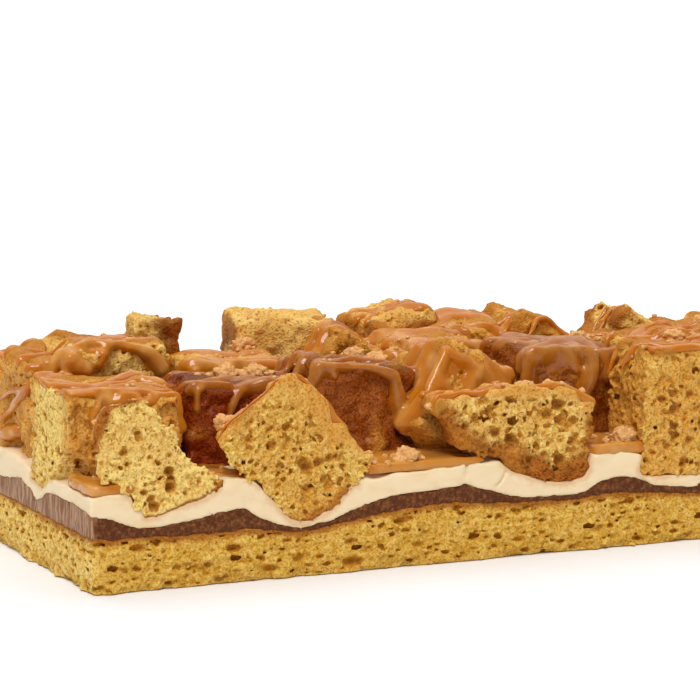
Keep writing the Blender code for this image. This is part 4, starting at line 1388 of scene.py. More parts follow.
@dataclass
class Layers:
    """The base, the filling and the cream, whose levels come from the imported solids."""

    heap: Heap
    spacing: float = 2.0
    inset: float = 0.3

    # Where the lines of a cut face fade out behind it, and where they hold
    FADE = (9.0, 1.0)
    LEAST_FILLING = 0.7

    # Large pores of the base in the front face, and cracks in the cream
    HOLLOWS = (
        ((46, 10.9), 1.3), ((86, 3.4), 1.6), ((85, 9.8), 1.1), ((58.7, 3.7), 1.2), ((15.7, 13.5), 1.2),
        ((36.5, 5.3), 0.9), ((67.7, 5.7), 0.9), ((107.9, 7), 1), ((142.3, 5.7), 1), ((170.4, 6.5), 0.9),
        ((184.6, 2.4), 1.2), ((222, 8), 1.3), ((251, 5), 1.1), ((268, 11), 1.2),
    )
    CRACKS = (
        ((124.2, 31.5), (123.8, 29), (124.4, 27.2)),
        ((137.4, 27.4), (136.4, 25.2), (134.6, 23.4)),
        ((205.5, 29), (204.8, 25)),
    )

    def _level(self, node: str) -> np.ndarray:
        """Reads the height of a solid's top on a coarse grid over the strip.

        Args:
            node: The solid's name.

        Returns:
            The height in each column, evened out over its neighbours.
        """
        tree = BVHTree.FromObject(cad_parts[node], bpy.context.evaluated_depsgraph_get())
        columns, rows = (int(size / self.spacing) + 2 for size in (LENGTH, DEPTH))
        level = np.zeros((columns, rows))
        for column, row in np.ndindex(columns, rows):
            x = min(max(column * self.spacing, self.inset), LENGTH - self.inset)
            y = min(max(row * self.spacing, self.inset), DEPTH - self.inset)
            start = Vector(((x - LENGTH / 2) * MM, (y - DEPTH / 2) * MM, FAR * MM))
            level[column, row] = tree.ray_cast(start, Vector((0, 0, -1)))[0].z / MM
        padded = np.pad(level, 1, mode="edge")
        return sum(padded[i:i + columns, j:j + rows] for i in range(3) for j in range(3)) / 9.0

    def level_on(self, node: str, grid: Grid) -> np.ndarray:
        """Spreads the height of a solid's top over a grid's columns.

        Args:
            node: The solid's name.
            grid: Where it is wanted.

        Returns:
            An array with one height a column.
        """
        result = self.levels[node][:, :, None]
        for axis in range(2):
            place = np.clip(grid.line(axis) / self.spacing, 0, result.shape[axis] - 1.001)
            index = place.astype(int)
            share = along(place - index, axis)
            near, far = (np.take(result, part, axis=axis) for part in (index, index + 1))
            result = near * (1 - share) + far * share
        return result.astype(np.float32)

    def drawn(self, level: np.ndarray, grid: Grid, front: Line, left: Line = ()) -> np.ndarray:
        """Bends a level so that it meets the lines that the cut faces show.

        Args:
            level: The heights, one a column.
            grid: The columns.
            front: The line on the front face.
            left: The line on the left end, or nothing.

        Returns:
            The bent level.
        """
        x, y, _ = grid.axes
        if left:
            line = np.interp(y, *zip(*left))
            level = level + (line - level) * smooth_step(x, *self.FADE)
        line = np.interp(x, *zip(*front))
        share = smooth_step(y, *self.FADE) * smooth_step(x, front[-1][0] + 8.0, front[-1][0] - 3.0)
        return (level + (line - level) * share).astype(np.float32)

    def base_top(self, grid: Grid) -> np.ndarray:
        """The level of the sponge base's top on a grid's columns."""
        return self.drawn(self.level_on("sponge_base", grid), grid, FRONT_BASE_TOP)

    def filling_top(self, grid: Grid) -> np.ndarray:
        """The level of the dark filling's top on a grid's columns."""
        level = self.drawn(self.level_on("dark_filling", grid), grid, FRONT_FILLING_TOP, LEFT_FILLING_TOP)
        return np.maximum(level, self.base_top(grid) + self.LEAST_FILLING)

    @cached_property
    def levels(self) -> dict[str, np.ndarray]:
        """The coarse levels of the solids."""
        return {node: self._level(node) for node in ("sponge_base", "dark_filling")}

    def build_base(self, material: bpy.types.Material) -> None:
        """Builds the sponge base, with its pores, its browned skins and its crumbly lower edge.

        Args:
            material: Its finish.
        """
        grid = Grid.over(1.2, -1.2, 21.5, 0.58)
        x, y, z = grid.axes
        lump = Noise(32, 3.6, 2.4).on(grid)
        swell = Noise(31, 11.0, 7.0).on(grid)
        grit = Noise(33, 1.4, 1.0).on(grid)
        froth = Noise(35, 1.3, 0.8).on(grid)
        top = self.base_top(grid)
        sides = strip_sides(grid)
        near = smooth_step(sides, -5.0, -1.5)
        crumble = smooth_step(z, 3.2, 0.3) * (0.9 + lump * 1.3 + swell * 0.8)
        corner = np.maximum(4.0 - x - y, 0.0) * 0.3
        calm = 1.0 - 0.75 * smooth_step(top - z, 2.5, 0.8)
        wall = sides + 0.7 + (swell * 0.5 + lump * 0.45 + grit * 0.3) * calm + crumble + corner
        body = np.maximum(wall, np.maximum(z - top + 0.1, -z))
        skin = np.maximum(smooth_step(top - z, 1.5, 0.7), smooth_step(z, 1.0, 0.4) * 0.6)
        grains = Pores(23, PoreSize(1.2, 0.35, 0.75), 1.25).on(grid)
        grained = body + grain_relief(grains, froth) * near * (1.0 - skin)
        holes = Pores(26, PoreSize(1.8, 0.25, 0.7, 0.7), 1.9).on(grid) + shallow(body, 1.5)
        bubbles = Pores(24, PoreSize(3.8, 0.5, 1.15, 0.45), 2.1).on(grid) + shallow(body, 2.2)
        pores = np.maximum(holes, bubbles) + froth * 0.4 + 0.05
        for (across, up), radius in self.HOLLOWS:
            away = np.sqrt(((x - across) / 2.2) ** 2 + ((y - 0.8) * 0.7) ** 2 + (z - up) ** 2)
            pores = np.maximum(pores, radius - away + lump * 0.4)
        pores = np.where(near > 0.02, pores - skin, NO_PORE)
        surface = Skin.of(fill_hollows(np.maximum(grained, pores)), grid).thinned(0.33)
        points = surface.points
        below = grid.read(np.broadcast_to(top, grid.counts), points) - points[:, 2]
        uneven = Noise(34, 3.5, 2.0).at(points)
        browned = smooth_step(below + uneven * 0.9, 2.7, 0.8)
        lower = smooth_step(points[:, 2] + uneven * 0.5, 0.9, 0.2) * 0.45
        marks = {
            # Depth below the smooth surface, which the finish turns into painted shade in pits
            "pit_shade": -grid.read(body, points),
            "crust": np.maximum(browned, lower),
            "soak": smooth_step(below + uneven * 1.6, 4.5, 0.5) * 0.4,
            "dark": np.zeros(len(points)),
            "pale": smooth_step(points[:, 0], 4.0, 0.5) * 1.1 - 0.4,
        }
        add_piece("base_sponge_sheet", surface, material, ["sponge_base"], marks)

    def build_filling(self, material: bpy.types.Material) -> None:
        """Builds the dark filling, dragged by the knife at the left end.

        Args:
            material: Its finish.
        """
        grid = Grid.over(1.2, 8.0, 27.6, 0.6)
        z = grid.axes[2]
        drag = Noise(41, 0.9, 7.0).on(grid)
        lump = Noise(42, 3.0, 2.0).on(grid)
        top = self.filling_top(grid) + Noise(43, 2.4).on(grid) * 0.5
        bottom = self.base_top(grid) - SEAM
        wall = strip_sides(grid) + 0.6 + drag * 0.3 + lump * 0.35
        surface = Skin.of(np.maximum(wall, np.maximum(z - top, bottom - z)), grid).thinned(0.09)
        points = surface.points
        marks = {"smear": smooth_step(points[:, 0] + Noise(44, 4.0).at(points) * 0.8, 2.4, 1.2)}
        add_piece("dark_filling_layer", surface, material, ["dark_filling"], marks)

    def build_cream(self, material: bpy.types.Material) -> None:
        """Builds the cream, which rises round the chunks.

        Args:
            material: Its finish.
        """
        part, grid = self.heap.grid.window((-1.3, -1.3, 14.0), (LENGTH + 1.3, DEPTH + 1.3, 37.0))
        heap = self.heap.distance[part]
        x, y, z = grid.axes
        ripple = Noise(52, 5.0).on(grid)
        fine = Noise(53, 2.2, 1.2).on(grid)
        top = CREAM_TOP + Noise(51, 16.0).on(grid) * 1.2 + smooth_step(heap, 5.0, 0.0) * 0.7
        top = self.drawn(top, grid, FRONT_CREAM_TOP, LEFT_CREAM_TOP) + ripple * 0.45 + fine * 0.15
        bottom = self.filling_top(grid) - SEAM
        sides = strip_sides(grid)
        wall = sides + 0.5 + ripple * 0.3 + fine * 0.15
        body = np.maximum(np.maximum(wall, z - top), bottom - z)
        for line in self.CRACKS:
            away = line_distance(x, z, line)
            body = np.maximum(body, 0.5 - np.sqrt(away ** 2 + np.maximum(y - 0.8, 0.0) ** 2))
        pressed = np.maximum(heap + 0.2, -4.0 - sides)
        surface = Skin.of(np.maximum(body, -pressed), grid).thinned(0.2)
        wet = grid.read(heap, surface.points) + Noise(54, 3.0).at(surface.points)
        marks = {"smear": smooth_step(wet, 1.2, 0.2) * 0.45}
        add_piece("soft_cream_layer", surface, material, ["cream"], marks)


# The caramel


@dataclass(frozen=True)
class Strand:
    """A poured strand: depth from the front face in mm, and its sways as reach, wave length and phase."""

    depth: float
    sways: tuple[tuple[float, float, float], ...]
    radius: float = 1.35

    def at(self, x: np.ndarray) -> np.ndarray:
        """The strand's depth at distances from the left end."""
        sways = [reach * np.sin(2 * math.pi * x / wave + phase) for reach, wave, phase in self.sways]
        return sum(sways, np.full(len(x), self.depth))


STRANDS = (
    Strand(13, ((3, 74, 0.4), (2, 31, 1.7)), 1.3),
    Strand(22, ((3, 88, 2.1), (2, 27, 0.2)), 1.5),
    Strand(36, ((4, 96, 1), (2, 35, 2.6)), 1.6),
    Strand(46, ((4, 82, 3.9), (2, 29, 0.9)), 1.5),
    Strand(55, ((3, 67, 5.2), (2, 33, 4.1)), 1.4),
    Strand(68, ((4, 90, 0.1), (2, 30, 3.3)), 1.6),
    Strand(80, ((3, 71, 2.9), (2, 37, 5.5)), 1.5),
    Strand(92, ((3, 85, 4.4), (2, 28, 1.2)), 1.4),
    Strand(101, ((2, 78, 1.9), (2, 34, 2.2)), 1.3),
    # Thinner strands beside them
    Strand(29, ((4, 96, 1), (2, 35, 2.6)), 0.9),
    Strand(51, ((3, 67, 5.2), (2, 33, 4.4)), 0.9),
    Strand(61, ((5, 83, 3), (2, 26, 0.4)), 1),
    Strand(97, ((2, 78, 1.8), (2, 34, 2)), 0.9),
)

# Puddles of caramel on the cream: middle, half sides and thickness in mm
PUDDLES = (
    ((4, 10), (11, 13), 3.2),
    ((108, 9), (22, 14), 3),
    ((180, 8), (13, 13), 3.8),
    ((46, 16), (7, 11), 2.6),
    ((222, 22), (8, 12), 2.8),
    ((76, 97), (9, 9), 2.8),
)


# Caramel that the photo shows run by run: points in mm and the radius along them
RUNS = (
    # Down the cut face and round the rim of front_2
    (((64.5, 3, 61.9), (71.7, 2.2, 58.6), (75.7, 1.8, 54), (79, 1.6, 48.4), (82.2, 1.8, 43.6)),
     (0.7, 0.9, 1.1, 1.5, 1.9)),
    (((40.8, 3, 45.2), (44.4, 3, 49.2), (51.5, 3, 54.2), (57.7, 3, 58.9), (61, 3, 62.2)),
     (0.4, 0.6, 0.5, 0.6, 0.6)),
    # Over the top of front_3
    (((113.2, 2.5, 48.6), (115.5, 2.5, 51.8), (122.4, 2.5, 53.5), (129.6, 3, 53.2), (138, 4, 54.2)),
     (0.8, 1, 1, 0.9, 0.8)),
    (((148, 4, 54), (156, 2.5, 53.4), (163.5, 2, 50.2), (168, 2.2, 47.2)), (0.9, 1.3, 1.6, 1.9)),
    # Along the edge of second_3 and down beside it
    (((77.5, 24, 59.4), (84.2, 24, 62.1), (93.3, 24, 61.8), (102.5, 24, 59.6), (110.4, 24, 55.3)),
     (1.1, 1.2, 1.2, 1.3, 1.4)),
    (((103.9, 22.5, 59.1), (110.7, 22.5, 54.9), (112.5, 22.5, 50), (111.8, 22.5, 46), (110.4, 22.5, 42.3)),
     (1.3, 2, 2.4, 2.6, 2.8)),
    # Along the ridge of second_4
    (((110.6, 17, 54.5), (115, 17, 57.9), (119.1, 17, 63), (125, 17, 67.1), (129.5, 17, 65.2),
      (135.7, 17, 61.3), (142.4, 17, 56.2)), (1.3, 1.4, 1.4, 1.2, 0.9, 1, 1.2)),
    # Side by side over second_1 and on to second_2
    (((0.5, 24, 63.9), (9.3, 24, 62), (18.9, 24, 61.1), (28.9, 24, 60.1), (37.6, 24, 61)),
     (0.8, 1, 0.9, 0.9, 1)),
    (((0.5, 21.5, 61.7), (8.5, 21.5, 59.9), (18.1, 21.5, 58.7), (28.8, 21.5, 56.7), (37.6, 21, 55)),
     (0.8, 0.9, 1, 1, 1.2)),
    (((2, 20.5, 59), (6, 20.5, 58), (14.5, 20.5, 56.6), (24.2, 20.5, 55.7)), (0.7, 0.9, 0.9, 0.7)),
    (((37.7, 24, 54), (41, 24, 56.8), (44.6, 24, 58.8), (55.5, 24, 59.6)), (1.3, 1.4, 1.3, 1.1)),
    (((37.6, 20.5, 56), (39.9, 20.5, 54.4), (38.9, 20.5, 50.1), (38.2, 20.5, 45.2)), (1.2, 1.3, 1.2, 1.4)),
    (((45.2, 20.5, 58), (42.9, 20.5, 56), (42.2, 20.5, 53), (42.5, 20.5, 50.5)), (1.1, 1.1, 1, 1.3)),
    # Over second_5
    (((151.6, 25, 57.6), (157.9, 25, 60.4), (168.5, 25, 61.6), (177.5, 25, 61.1), (182.9, 25, 58.8)),
     (1.4, 1.5, 1.4, 1.6, 1.6)),
    (((156.8, 25, 59.8), (155.8, 25, 55.4), (155.5, 25, 50.6)), (1.5, 1.5, 1.9)),
    (((178.8, 24, 61.1), (181, 24, 56.5), (179.6, 24, 50.7), (177.5, 24, 44.4), (176.8, 24, 38)),
     (1.9, 2.2, 2.4, 2.2, 2.4)),
    # Over front_4
    (((188.3, 3, 64.1), (192.6, 3, 65.8), (199.7, 3, 65.3), (207, 3, 63.6), (216, 4, 62)),
     (1, 1.2, 1.2, 1.2, 1)),
    (((192.3, 1.8, 60.3), (197.3, 1.8, 62.6), (202.3, 1.8, 61), (207.4, 1.8, 60)), (0.8, 0.9, 0.8, 0.8)),
    # Round the torn top of third_2
    (((9.8, 59, 58.5), (12.5, 59, 65), (16.7, 60, 67.5), (25, 60, 68), (33, 60, 67), (38, 60, 65),
      (43, 59.5, 62), (47, 59, 57)), (1.2, 1.8, 1.6, 1.5, 1.4, 1.6, 2.3, 2.5)),
    (((25.5, 58.5, 62), (26.2, 58.5, 64.5), (27.5, 58.5, 66.3), (31, 59, 67.2), (36, 59.5, 66)),
     (1, 1.2, 1.3, 1.3, 1.2)),
    (((13.5, 58.5, 63.5), (16.5, 58.5, 61), (20, 58.5, 59.5)), (2.5, 2.8, 2)),
    # Down the left end of third_1, and the corner of second_1
    (((3, 59, 55.5), (2, 65, 51.5), (1.5, 71, 48), (1.5, 77, 44.5), (1.5, 83, 41)), (0.9, 1.2, 1.3, 1.2, 1)),
    (((2, 64, 53), (1.5, 74, 51), (1.5, 86, 46.5)), (0.6, 0.8, 0.7)),
    (((1.5, 75, 38), (1.5, 79, 36.5), (1.5, 83, 36)), (2, 2.5, 1.8)),
    (((13, 20.5, 58), (10.5, 20.5, 55), (9, 20.5, 51), (9.5, 20.5, 47)), (0.9, 1.2, 1.3, 0.8)),
)


@dataclass
class Caramel:
    """Thick caramel over the heap: strands, the coats where they run together, drips and puddles."""

    heap: Heap
    patch: Noise = field(default_factory=lambda: Noise(61, 11.0))
    dapple: Noise = field(default_factory=lambda: Noise(62, 4.0))

    # How far apart a slope is measured, how far off the heap a run lies, and the thinnest ball, in mm
    PROBE = 0.8
    LIFT = 0.3
    LEAST = 0.25

    @property
    def grid(self) -> Grid:
        """The samples, which are the heap's."""
        return self.heap.grid

    @cached_property
    def roof(self) -> tuple[np.ndarray, np.ndarray]:
        """The height of the heap's top in each column, or of the cream, and how much caramel lies there."""
        line = self.grid.line(2)
        top = np.where(self.heap.distance < 0, line, 0.0).max(axis=2)
        level = np.clip(np.round((top - self.grid.low[2]) / self.grid.step), 0, len(line) - 1).astype(int)
        amount = self.heap.of_owner([chunk.caramel for chunk in CHUNKS], 0.8)
        found = np.take_along_axis(amount, level[:, :, None], axis=2)[:, :, 0]
        return np.maximum(top, CREAM_TOP), np.where(top > CREAM_LEVEL, found, 0.8)

    def column(self, x: np.ndarray, y: np.ndarray) -> tuple[np.ndarray, np.ndarray]:
        """Finds the grid's columns nearest to places: their numbers along the strip and across it."""
        found = [np.round((part - low) / self.grid.step) for part, low in zip((x, y), self.grid.low)]
        return tuple(np.clip(part, 0, n - 1).astype(int) for part, n in zip(found, self.grid.counts))

    def path(self, strand: Strand) -> tuple[np.ndarray, np.ndarray]:
        """Lays a strand over the heap: it rests on the tops and sags into the hollows.

        Args:
            strand: The strand.

        Returns:
            Its points in mm, evenly spaced, and its radii.
        """
        x = np.arange(0.5, LENGTH, self.grid.step)
        y = np.clip(strand.at(x), 1.0, DEPTH - 1.0)
        roof, amount = (part[self.column(x, y)] for part in self.roof)
        away = np.abs(x[:, None] - x[None, :])
        rest = (roof[None, :] - 2.0 * away - 0.06 * away ** 2).max(axis=1)
        even = np.ones(5) / 5
        rest = np.convolve(np.pad(rest, 2, mode="edge"), even, mode="valid")
        amount = amount * smooth_step(rest - roof, 9.0, 4.0)
        amount = amount * smooth_step(rest, CREAM_LEVEL + 4.0, CREAM_LEVEL + 8.0)
        amount = np.convolve(np.pad(amount, 2, mode="edge"), even, mode="valid")
        points = np.stack([x, y, rest], axis=1)
        thick = 1.0 + 0.3 * self.dapple.at(points) + 0.3 * self.patch.at(points)
        radii = strand.radius * thick * np.clip(amount, 0.0, 1.1) - 0.9 * (amount < 0.35)
        return self.evened(points, radii)

    @staticmethod
    def evened(points: np.ndarray, radii: np.ndarray, gap: float = 0.6) -> tuple[np.ndarray, np.ndarray]:
        """Spaces the points of a run evenly along it.

        Args:
            points: The points in mm.
            radii: A radius for each.
            gap: The spacing in mm.

        Returns:
            The new points and their radii.
        """
        length = np.concatenate([[0.0], np.cumsum(np.linalg.norm(np.diff(points, axis=0), axis=1))])
        place = np.arange(0.0, length[-1], gap)
        moved = np.stack([np.interp(place, length, points[:, axis]) for axis in range(3)], axis=1)
        return moved, np.interp(place, length, radii)

    def slope(self, points: np.ndarray) -> np.ndarray:
        """Finds the direction straight out of the heap.

        Args:
            points: Places in mm.

        Returns:
            The direction at each place, of length 1.
        """
        result = np.zeros_like(points)
        for axis, shift in enumerate(np.eye(3) * self.PROBE):
            result[:, axis] = self.grid.read(self.heap.distance, points + shift)
            result[:, axis] -= self.grid.read(self.heap.distance, points - shift)
        return result / np.maximum(np.linalg.norm(result, axis=1), 1e-6)[:, None]

    def settled(self, points: np.ndarray) -> np.ndarray:
        """Moves points to just outside the heap's surface.

        Args:
            points: The points in mm.

        Returns:
            The moved points.
        """
        for _ in range(8):
            gap = np.clip(self.grid.read(self.heap.distance, points) - self.LIFT, -1.5, 1.5)
            points = points - self.slope(points) * gap[:, None] * 0.7
        return points

    def stamp(self, target: np.ndarray, points: np.ndarray, radii: np.ndarray) -> None:
        """Adds balls to a field in place.

        Args:
            target: The field on this grid.
            points: The balls' middles.
            radii: Their radii. There is no ball where one is LEAST or less.
        """
        low = np.array(self.grid.low)
        step = self.grid.step
        for point, radius in zip(points, radii):
            reach = radius + 3.0
            first = np.maximum(np.floor((point - reach - low) / step).astype(int), 0)
            last = np.minimum(np.ceil((point + reach - low) / step).astype(int) + 1, target.shape)
            if radius <= self.LEAST or np.any(first >= last):
                continue
            gaps = [along(low[a] + np.arange(first[a], last[a]) * step - point[a], a) for a in range(3)]
            away = np.sqrt(sum(gap ** 2 for gap in gaps))
            part = tuple(slice(a, b) for a, b in zip(first, last))
            target[part] = np.minimum(target[part], (away - radius).astype(np.float32))

    def _empty(self) -> np.ndarray:
        """A field without any caramel."""
        return np.full(self.grid.counts, 6.0, np.float32)

    def _joined(self, strands: np.ndarray, points: np.ndarray, radii: np.ndarray, width: float) -> np.ndarray:
        """Joins one more strand to a field.

        Args:
            strands: The field.
            points: The strand's points in mm.
            radii: Its radii.
            width: Over how many millimetres the crease is rounded.

        Returns:
            The joined field.
        """
        line = self._empty()
        self.stamp(line, points, radii)
        return blend_min(strands, line, width)

    def drips(self, starts: np.ndarray, lengths: np.ndarray) -> list[np.ndarray]:
        """Lets drops run down the heap from starting points.

        Args:
            starts: Where they start.
            lengths: How far each runs, in mm.

        Returns:
            The track of each.
        """
        stride = 0.6
        place = starts.copy()
        tracks = [[point.copy()] for point in place]
        pull = np.array([0.0, 0.0, -1.0])
        for turn in range(int(lengths.max() / stride)):
            slope = self.slope(place)
            flow = pull - (slope @ pull)[:, None] * slope
            flow /= np.maximum(np.linalg.norm(flow, axis=1), 0.25)[:, None]
            place = place + flow * stride
            gap = self.grid.read(self.heap.distance, place) - self.LIFT
            place = place - slope * np.clip(gap, -stride, stride)[:, None]
            for track, point, length in zip(tracks, place, lengths):
                if turn * stride < length and point[2] > CREAM_LEVEL + 3.0:
                    track.append(point.copy())
        return [np.array(track) for track in tracks]

    @cached_property
    def distance(self) -> np.ndarray:
        """The caramel's field."""
        draw = np.random.RandomState(71)
        strands = self._empty()
        runs = self._empty()
        starts = []
        for strand in STRANDS:
            points, radii = self.path(strand)
            strands = self._joined(strands, points, radii, 1.3)
            wide = np.flatnonzero(radii > 0.8)
            starts.append(points[draw.choice(wide, 5, replace=False)])
        for spots, radii in RUNS:
            points, radii = self.evened(np.array(spots, float), np.array(radii, float), 0.5)
            strands = self._joined(strands, self.settled(points), radii, 0.8)
        starts = np.concatenate(starts)
        for track in self.drips(starts, draw.uniform(4.0, 14.0, len(starts))):
            share = np.linspace(0, 1, len(track))
            self.stamp(runs, track, 0.7 + 0.25 * np.sin(share * 5) + 0.7 * smooth_step(share, 0.6, 1.0))
        result = blend_min(strands, runs, 1.6)
        result = blend_min(result, self.coat(result), 1.2)
        result = blend_min(result, self.puddles(), 2.0)
        result = np.maximum(result, -(self.heap.distance + 1.2))
        result = np.maximum(result, self.grid.axes[2] - HEIGHT + 0.3)
        return np.maximum(result, strip_sides(self.grid) + 0.7 + self.dapple.on(self.grid) * 0.5)

    def coat(self, strands: np.ndarray) -> np.ndarray:
        """The thin coats on the chunks, where strands run close together or a chunk is dipped.

        Args:
            strands: The field of the strands and drips.

        Returns:
            The coats' field.
        """
        amount = self.heap.of_owner([chunk.coat for chunk in CHUNKS], 0.0)
        plenty = self.heap.of_owner([chunk.caramel for chunk in CHUNKS], 0.0)
        patch = self.patch.on(self.grid) * 0.8 + self.dapple.on(self.grid) * 0.5
        near = smooth_step(strands, 2.2, 0.4)
        high = smooth_step(self.grid.axes[2], 36.0, 46.0)
        thick = -1.7 + near * 1.2 * plenty + patch * 0.9 + amount * 2.3 * high
        return self.heap.distance - np.minimum(thick, 0.65)

    def puddles(self) -> np.ndarray:
        """Lays the puddles on the cream, with uneven rounded rims.

        Returns:
            Their field.
        """
        x, y, z = self.grid.axes
        rim = 1.2
        result = self._empty()
        uneven = self.dapple.on(self.grid)
        for (px, py), (wide, deep), thick in PUDDLES:
            across = np.sqrt(((x - px) / wide) ** 2 + ((y - py) / deep) ** 2)
            edge = (across - 1.0) * min(wide, deep) * 0.7 + uneven * 2.2 + rim
            tall = np.maximum(np.abs(z - CREAM_LEVEL + 0.4 + uneven * 0.4) - (thick / 2 - rim), 0.0)
            result = np.minimum(result, np.sqrt(np.maximum(edge, 0.0) ** 2 + tall ** 2) - rim)
        return result

    def build(self, material: bpy.types.Material) -> None:
        """Builds the caramel as one piece.

        Args:
            material: Its finish.
        """
        skin = Skin.of(self.distance, self.grid).smoothed(2).thinned(0.35)
        out = self.grid.read(self.heap.distance, skin.points)
        dark = self.heap.of_owner([chunk.dark for chunk in CHUNKS], 0.0)
        marks = {
            "body": smooth_step(out + self.dapple.at(skin.points) * 0.3, 0.3, 1.8),
            "under": self.grid.read(dark, skin.points),
        }
        add_piece("caramel", skin, material, (), marks)


# The crumbs


@dataclass
class Crumbs:
    """Broken biscuit on the cream, on the caramel and on the chunks."""

    caramel: Caramel
    scattered: int = 14
    loose: int = 220
    balls: dict[int, tuple[np.ndarray, np.ndarray]] = field(default_factory=dict)

    # Crumbs with a radius above each of these are made of finer faces
    FINER = (0.5, 1.0, 2.7)
    # The scales and heights of their roughness
    ROUGHNESS = ((1.3, 0.42), (3.1, 0.26), (7.0, 0.16), (15.0, 0.07))
    # The largest crumbs: distance from the left end and from the front face, and radius
    LARGE = (
        (93.5, 4, 1.9), (105.5, 5, 3.8), (47, 9, 3), (181.5, 6, 3.9), (152, 14, 2.6), (161, 6, 2.4),
        (145, 5, 2), (156, 8, 1.8), (62, 45, 3.6), (70, 41, 4.2), (108, 50, 3.2), (117, 52, 3.8),
        (206, 19, 3.2), (84, 84, 3.6), (240, 60, 3.8), (263, 30, 3.6), (196, 66, 3.2), (34, 92, 3),
    )

    def build(self, material: bpy.types.Material) -> None:
        """Builds all the crumbs as one piece.

        Args:
            material: Their finish.
        """
        top = self._tops()
        points = []
        triangles = []
        count = 0
        for index, (x, y, radius) in enumerate(self._places()):
            edge = 1 + radius * 0.5
            if not (edge < x < LENGTH - 1 - radius * 0.5 and 0.8 + radius * 0.5 < y < DEPTH - 1):
                continue
            ball, faces = self._ball(1 + sum(radius > least for least in self.FINER))
            shape = self._crumb(ball, radius, index)
            shape += np.array([x, y, top[self.caramel.column(x, y)] + radius * 0.3])
            points.append(shape)
            triangles.append(faces + count)
            count += len(shape)
        placed = Skin.boxed(np.concatenate(points), 0.1)
        skin = Skin(placed, np.concatenate(triangles), NO_QUADS)
        add_piece("biscuit_crumbs", skin, material)

    def _places(self) -> list[tuple[float, float, float]]:
        """Scatters the crumbs: the large ones, bits round each of them, and loose ones all over.

        Returns:
            For each crumb, its distances from the left end and the front face and its radius.
        """
        draw = np.random.RandomState(81)
        places = list(self.LARGE)
        for x, y, radius in self.LARGE:
            for _ in range(self.scattered):
                angle = draw.uniform(0, 2 * math.pi)
                away = radius * draw.uniform(0.8, 2.6)
                size = draw.uniform(0.35, 1.3)
                places.append((x + away * math.cos(angle), y + away * math.sin(angle), size))
        for _ in range(self.loose):
            places.append((draw.uniform(2, LENGTH - 2), draw.uniform(2, DEPTH - 2), draw.uniform(0.3, 1.0)))
        return places

    def _tops(self) -> np.ndarray:
        """The height of what shows from above, in each column of the caramel's grid."""
        solid = (self.caramel.distance < 0) | (self.caramel.heap.distance < 0)
        return np.maximum(np.where(solid, self.caramel.grid.line(2), 0.0).max(axis=2), CREAM_TOP)

    def _ball(self, rounds: int) -> tuple[np.ndarray, np.ndarray]:
        """Makes a ball of radius 1, or takes the one made before.

        Args:
            rounds: How fine it is.

        Returns:
            Its points and its faces.
        """
        if rounds not in self.balls:
            bm = bmesh.new()
            bmesh.ops.create_icosphere(bm, subdivisions=rounds, radius=1.0)
            points = np.array([vertex.co for vertex in bm.verts])
            faces = np.array([[vertex.index for vertex in face.verts] for face in bm.faces])
            bm.free()
            self.balls[rounds] = (points, faces)
        return self.balls[rounds]

    def _crumb(self, ball: np.ndarray, radius: float, index: int) -> np.ndarray:
        """Makes one rough crumb round the origin.

        Args:
            ball: The points of a ball of radius 1.
            radius: The crumb's radius.
            index: Its number, which makes it unlike the others.

        Returns:
            Its points.
        """
        shift = Vector((index * 3.1, index * 1.7, index * 0.9))
        reach = [
            sum((high * noise.noise(Vector(point) * fine + shift) for fine, high in self.ROUGHNESS), 1.0)
            for point in ball
        ]
        return ball * np.array(reach)[:, None] * radius * np.array([1.0, 1.0, 0.8])


# The set


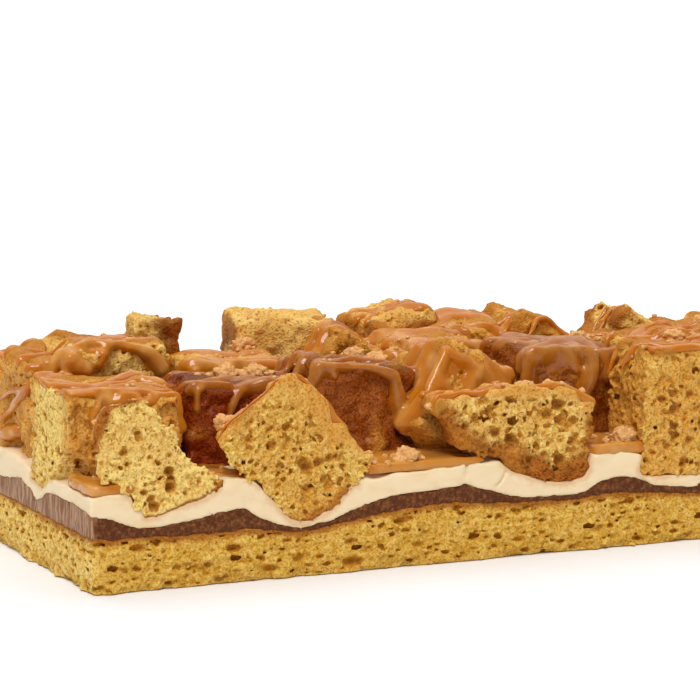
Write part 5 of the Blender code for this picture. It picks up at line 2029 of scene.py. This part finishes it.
@dataclass(frozen=True)
class Studio:
    """The floor, the lights and the camera."""

    azimuth: float = -24.1
    elevation: float = 8.8
    distance: float = 1.2
    lens: float = 203.66
    aim: Point = (0.0843, 0.0, 0.0692)
    half: float = 3.0

    def build(self) -> None:
        """Sets everything up."""
        self.floor()
        self.world()
        self.lights()
        self.camera()

    def floor(self) -> None:
        """Lays the pale floor."""
        mesh = bpy.data.meshes.new("floor")
        corners = [(x * self.half, y * self.half, 0) for x, y in ((-1, -1), (1, -1), (1, 1), (-1, 1))]
        mesh.from_pydata(corners, [], [(0, 1, 2, 3)])
        shader = Shader("pale_floor")
        shader.set(Base_Color=(0.93, 0.93, 0.93, 1.0), Roughness=0.9, Specular_IOR_Level=0.1)
        mesh.materials.append(shader.material)
        floor = bpy.data.objects.new("floor", mesh)
        bpy.context.scene.collection.objects.link(floor)

    def world(self) -> None:
        """Makes the even white light all round."""
        world = bpy.data.worlds.new("studio")
        world.use_nodes = True
        sky = world.node_tree.nodes["Background"]
        sky.inputs["Color"].default_value = (1.0, 1.0, 1.0, 1.0)
        sky.inputs["Strength"].default_value = 0.35
        bpy.context.scene.world = world
        bpy.context.scene.view_settings.view_transform = "Standard"

    def lights(self) -> None:
        """Sets the soft lights: a key from the left front and a wide one from above and behind."""
        self._light("key", (-0.35, -0.5, 1.0), 26.0, 2.0)
        self._light("top", (0.25, 0.5, 1.0), 70.0, 1.1)

    def _light(self, name: str, direction: Point, width: float, power: float) -> None:
        """Sets one far soft light.

        Args:
            name: Its name.
            direction: Where it shines from.
            width: How wide it looks, in degrees.
            power: Its strength.
        """
        lamp = bpy.data.lights.new(name, "SUN")
        lamp.angle = math.radians(width)
        lamp.energy = power
        made = bpy.data.objects.new(name, lamp)
        made.rotation_euler = Vector(direction).to_track_quat("Z", "Y").to_euler()
        bpy.context.scene.collection.objects.link(made)

    def camera(self) -> None:
        """Sets the camera up at the photo's angle."""
        lens = bpy.data.cameras.new("camera")
        lens.lens = self.lens
        lens.sensor_width = 36.0
        lens.clip_end = 20.0
        made = bpy.data.objects.new("camera", lens)
        turn = math.radians(self.azimuth)
        rise = math.radians(self.elevation)
        back = Vector((math.sin(turn) * math.cos(rise), -math.cos(turn) * math.cos(rise), math.sin(rise)))
        target = Vector((self.aim[0] - LENGTH * MM / 2, self.aim[1] - DEPTH * MM / 2, self.aim[2]))
        made.location = target + back * self.distance
        made.rotation_euler = back.to_track_quat("Z", "Y").to_euler()
        bpy.context.scene.collection.objects.link(made)
        bpy.context.scene.camera = made


def main() -> None:
    """Builds the dressed cake and its set."""
    logging.basicConfig(level=logging.INFO, format="%(message)s")
    heap = Heap()
    caramel = Caramel(heap)
    sponge = SpongeFinish("open_sponge").build()
    layers = Layers(heap)
    layers.build_base(SpongeFinish("base_sponge").build())
    layers.build_filling(FillingFinish().build())
    layers.build_cream(CreamFinish().build())
    caramel.build(CaramelFinish().build())
    maker = ChunkMaker(caramel)
    for index, chunk in enumerate(CHUNKS):
        maker.make(index, chunk, sponge)
    Crumbs(caramel).build(BiscuitFinish().build())
    Studio().build()


if __name__ == "__main__":
    main()
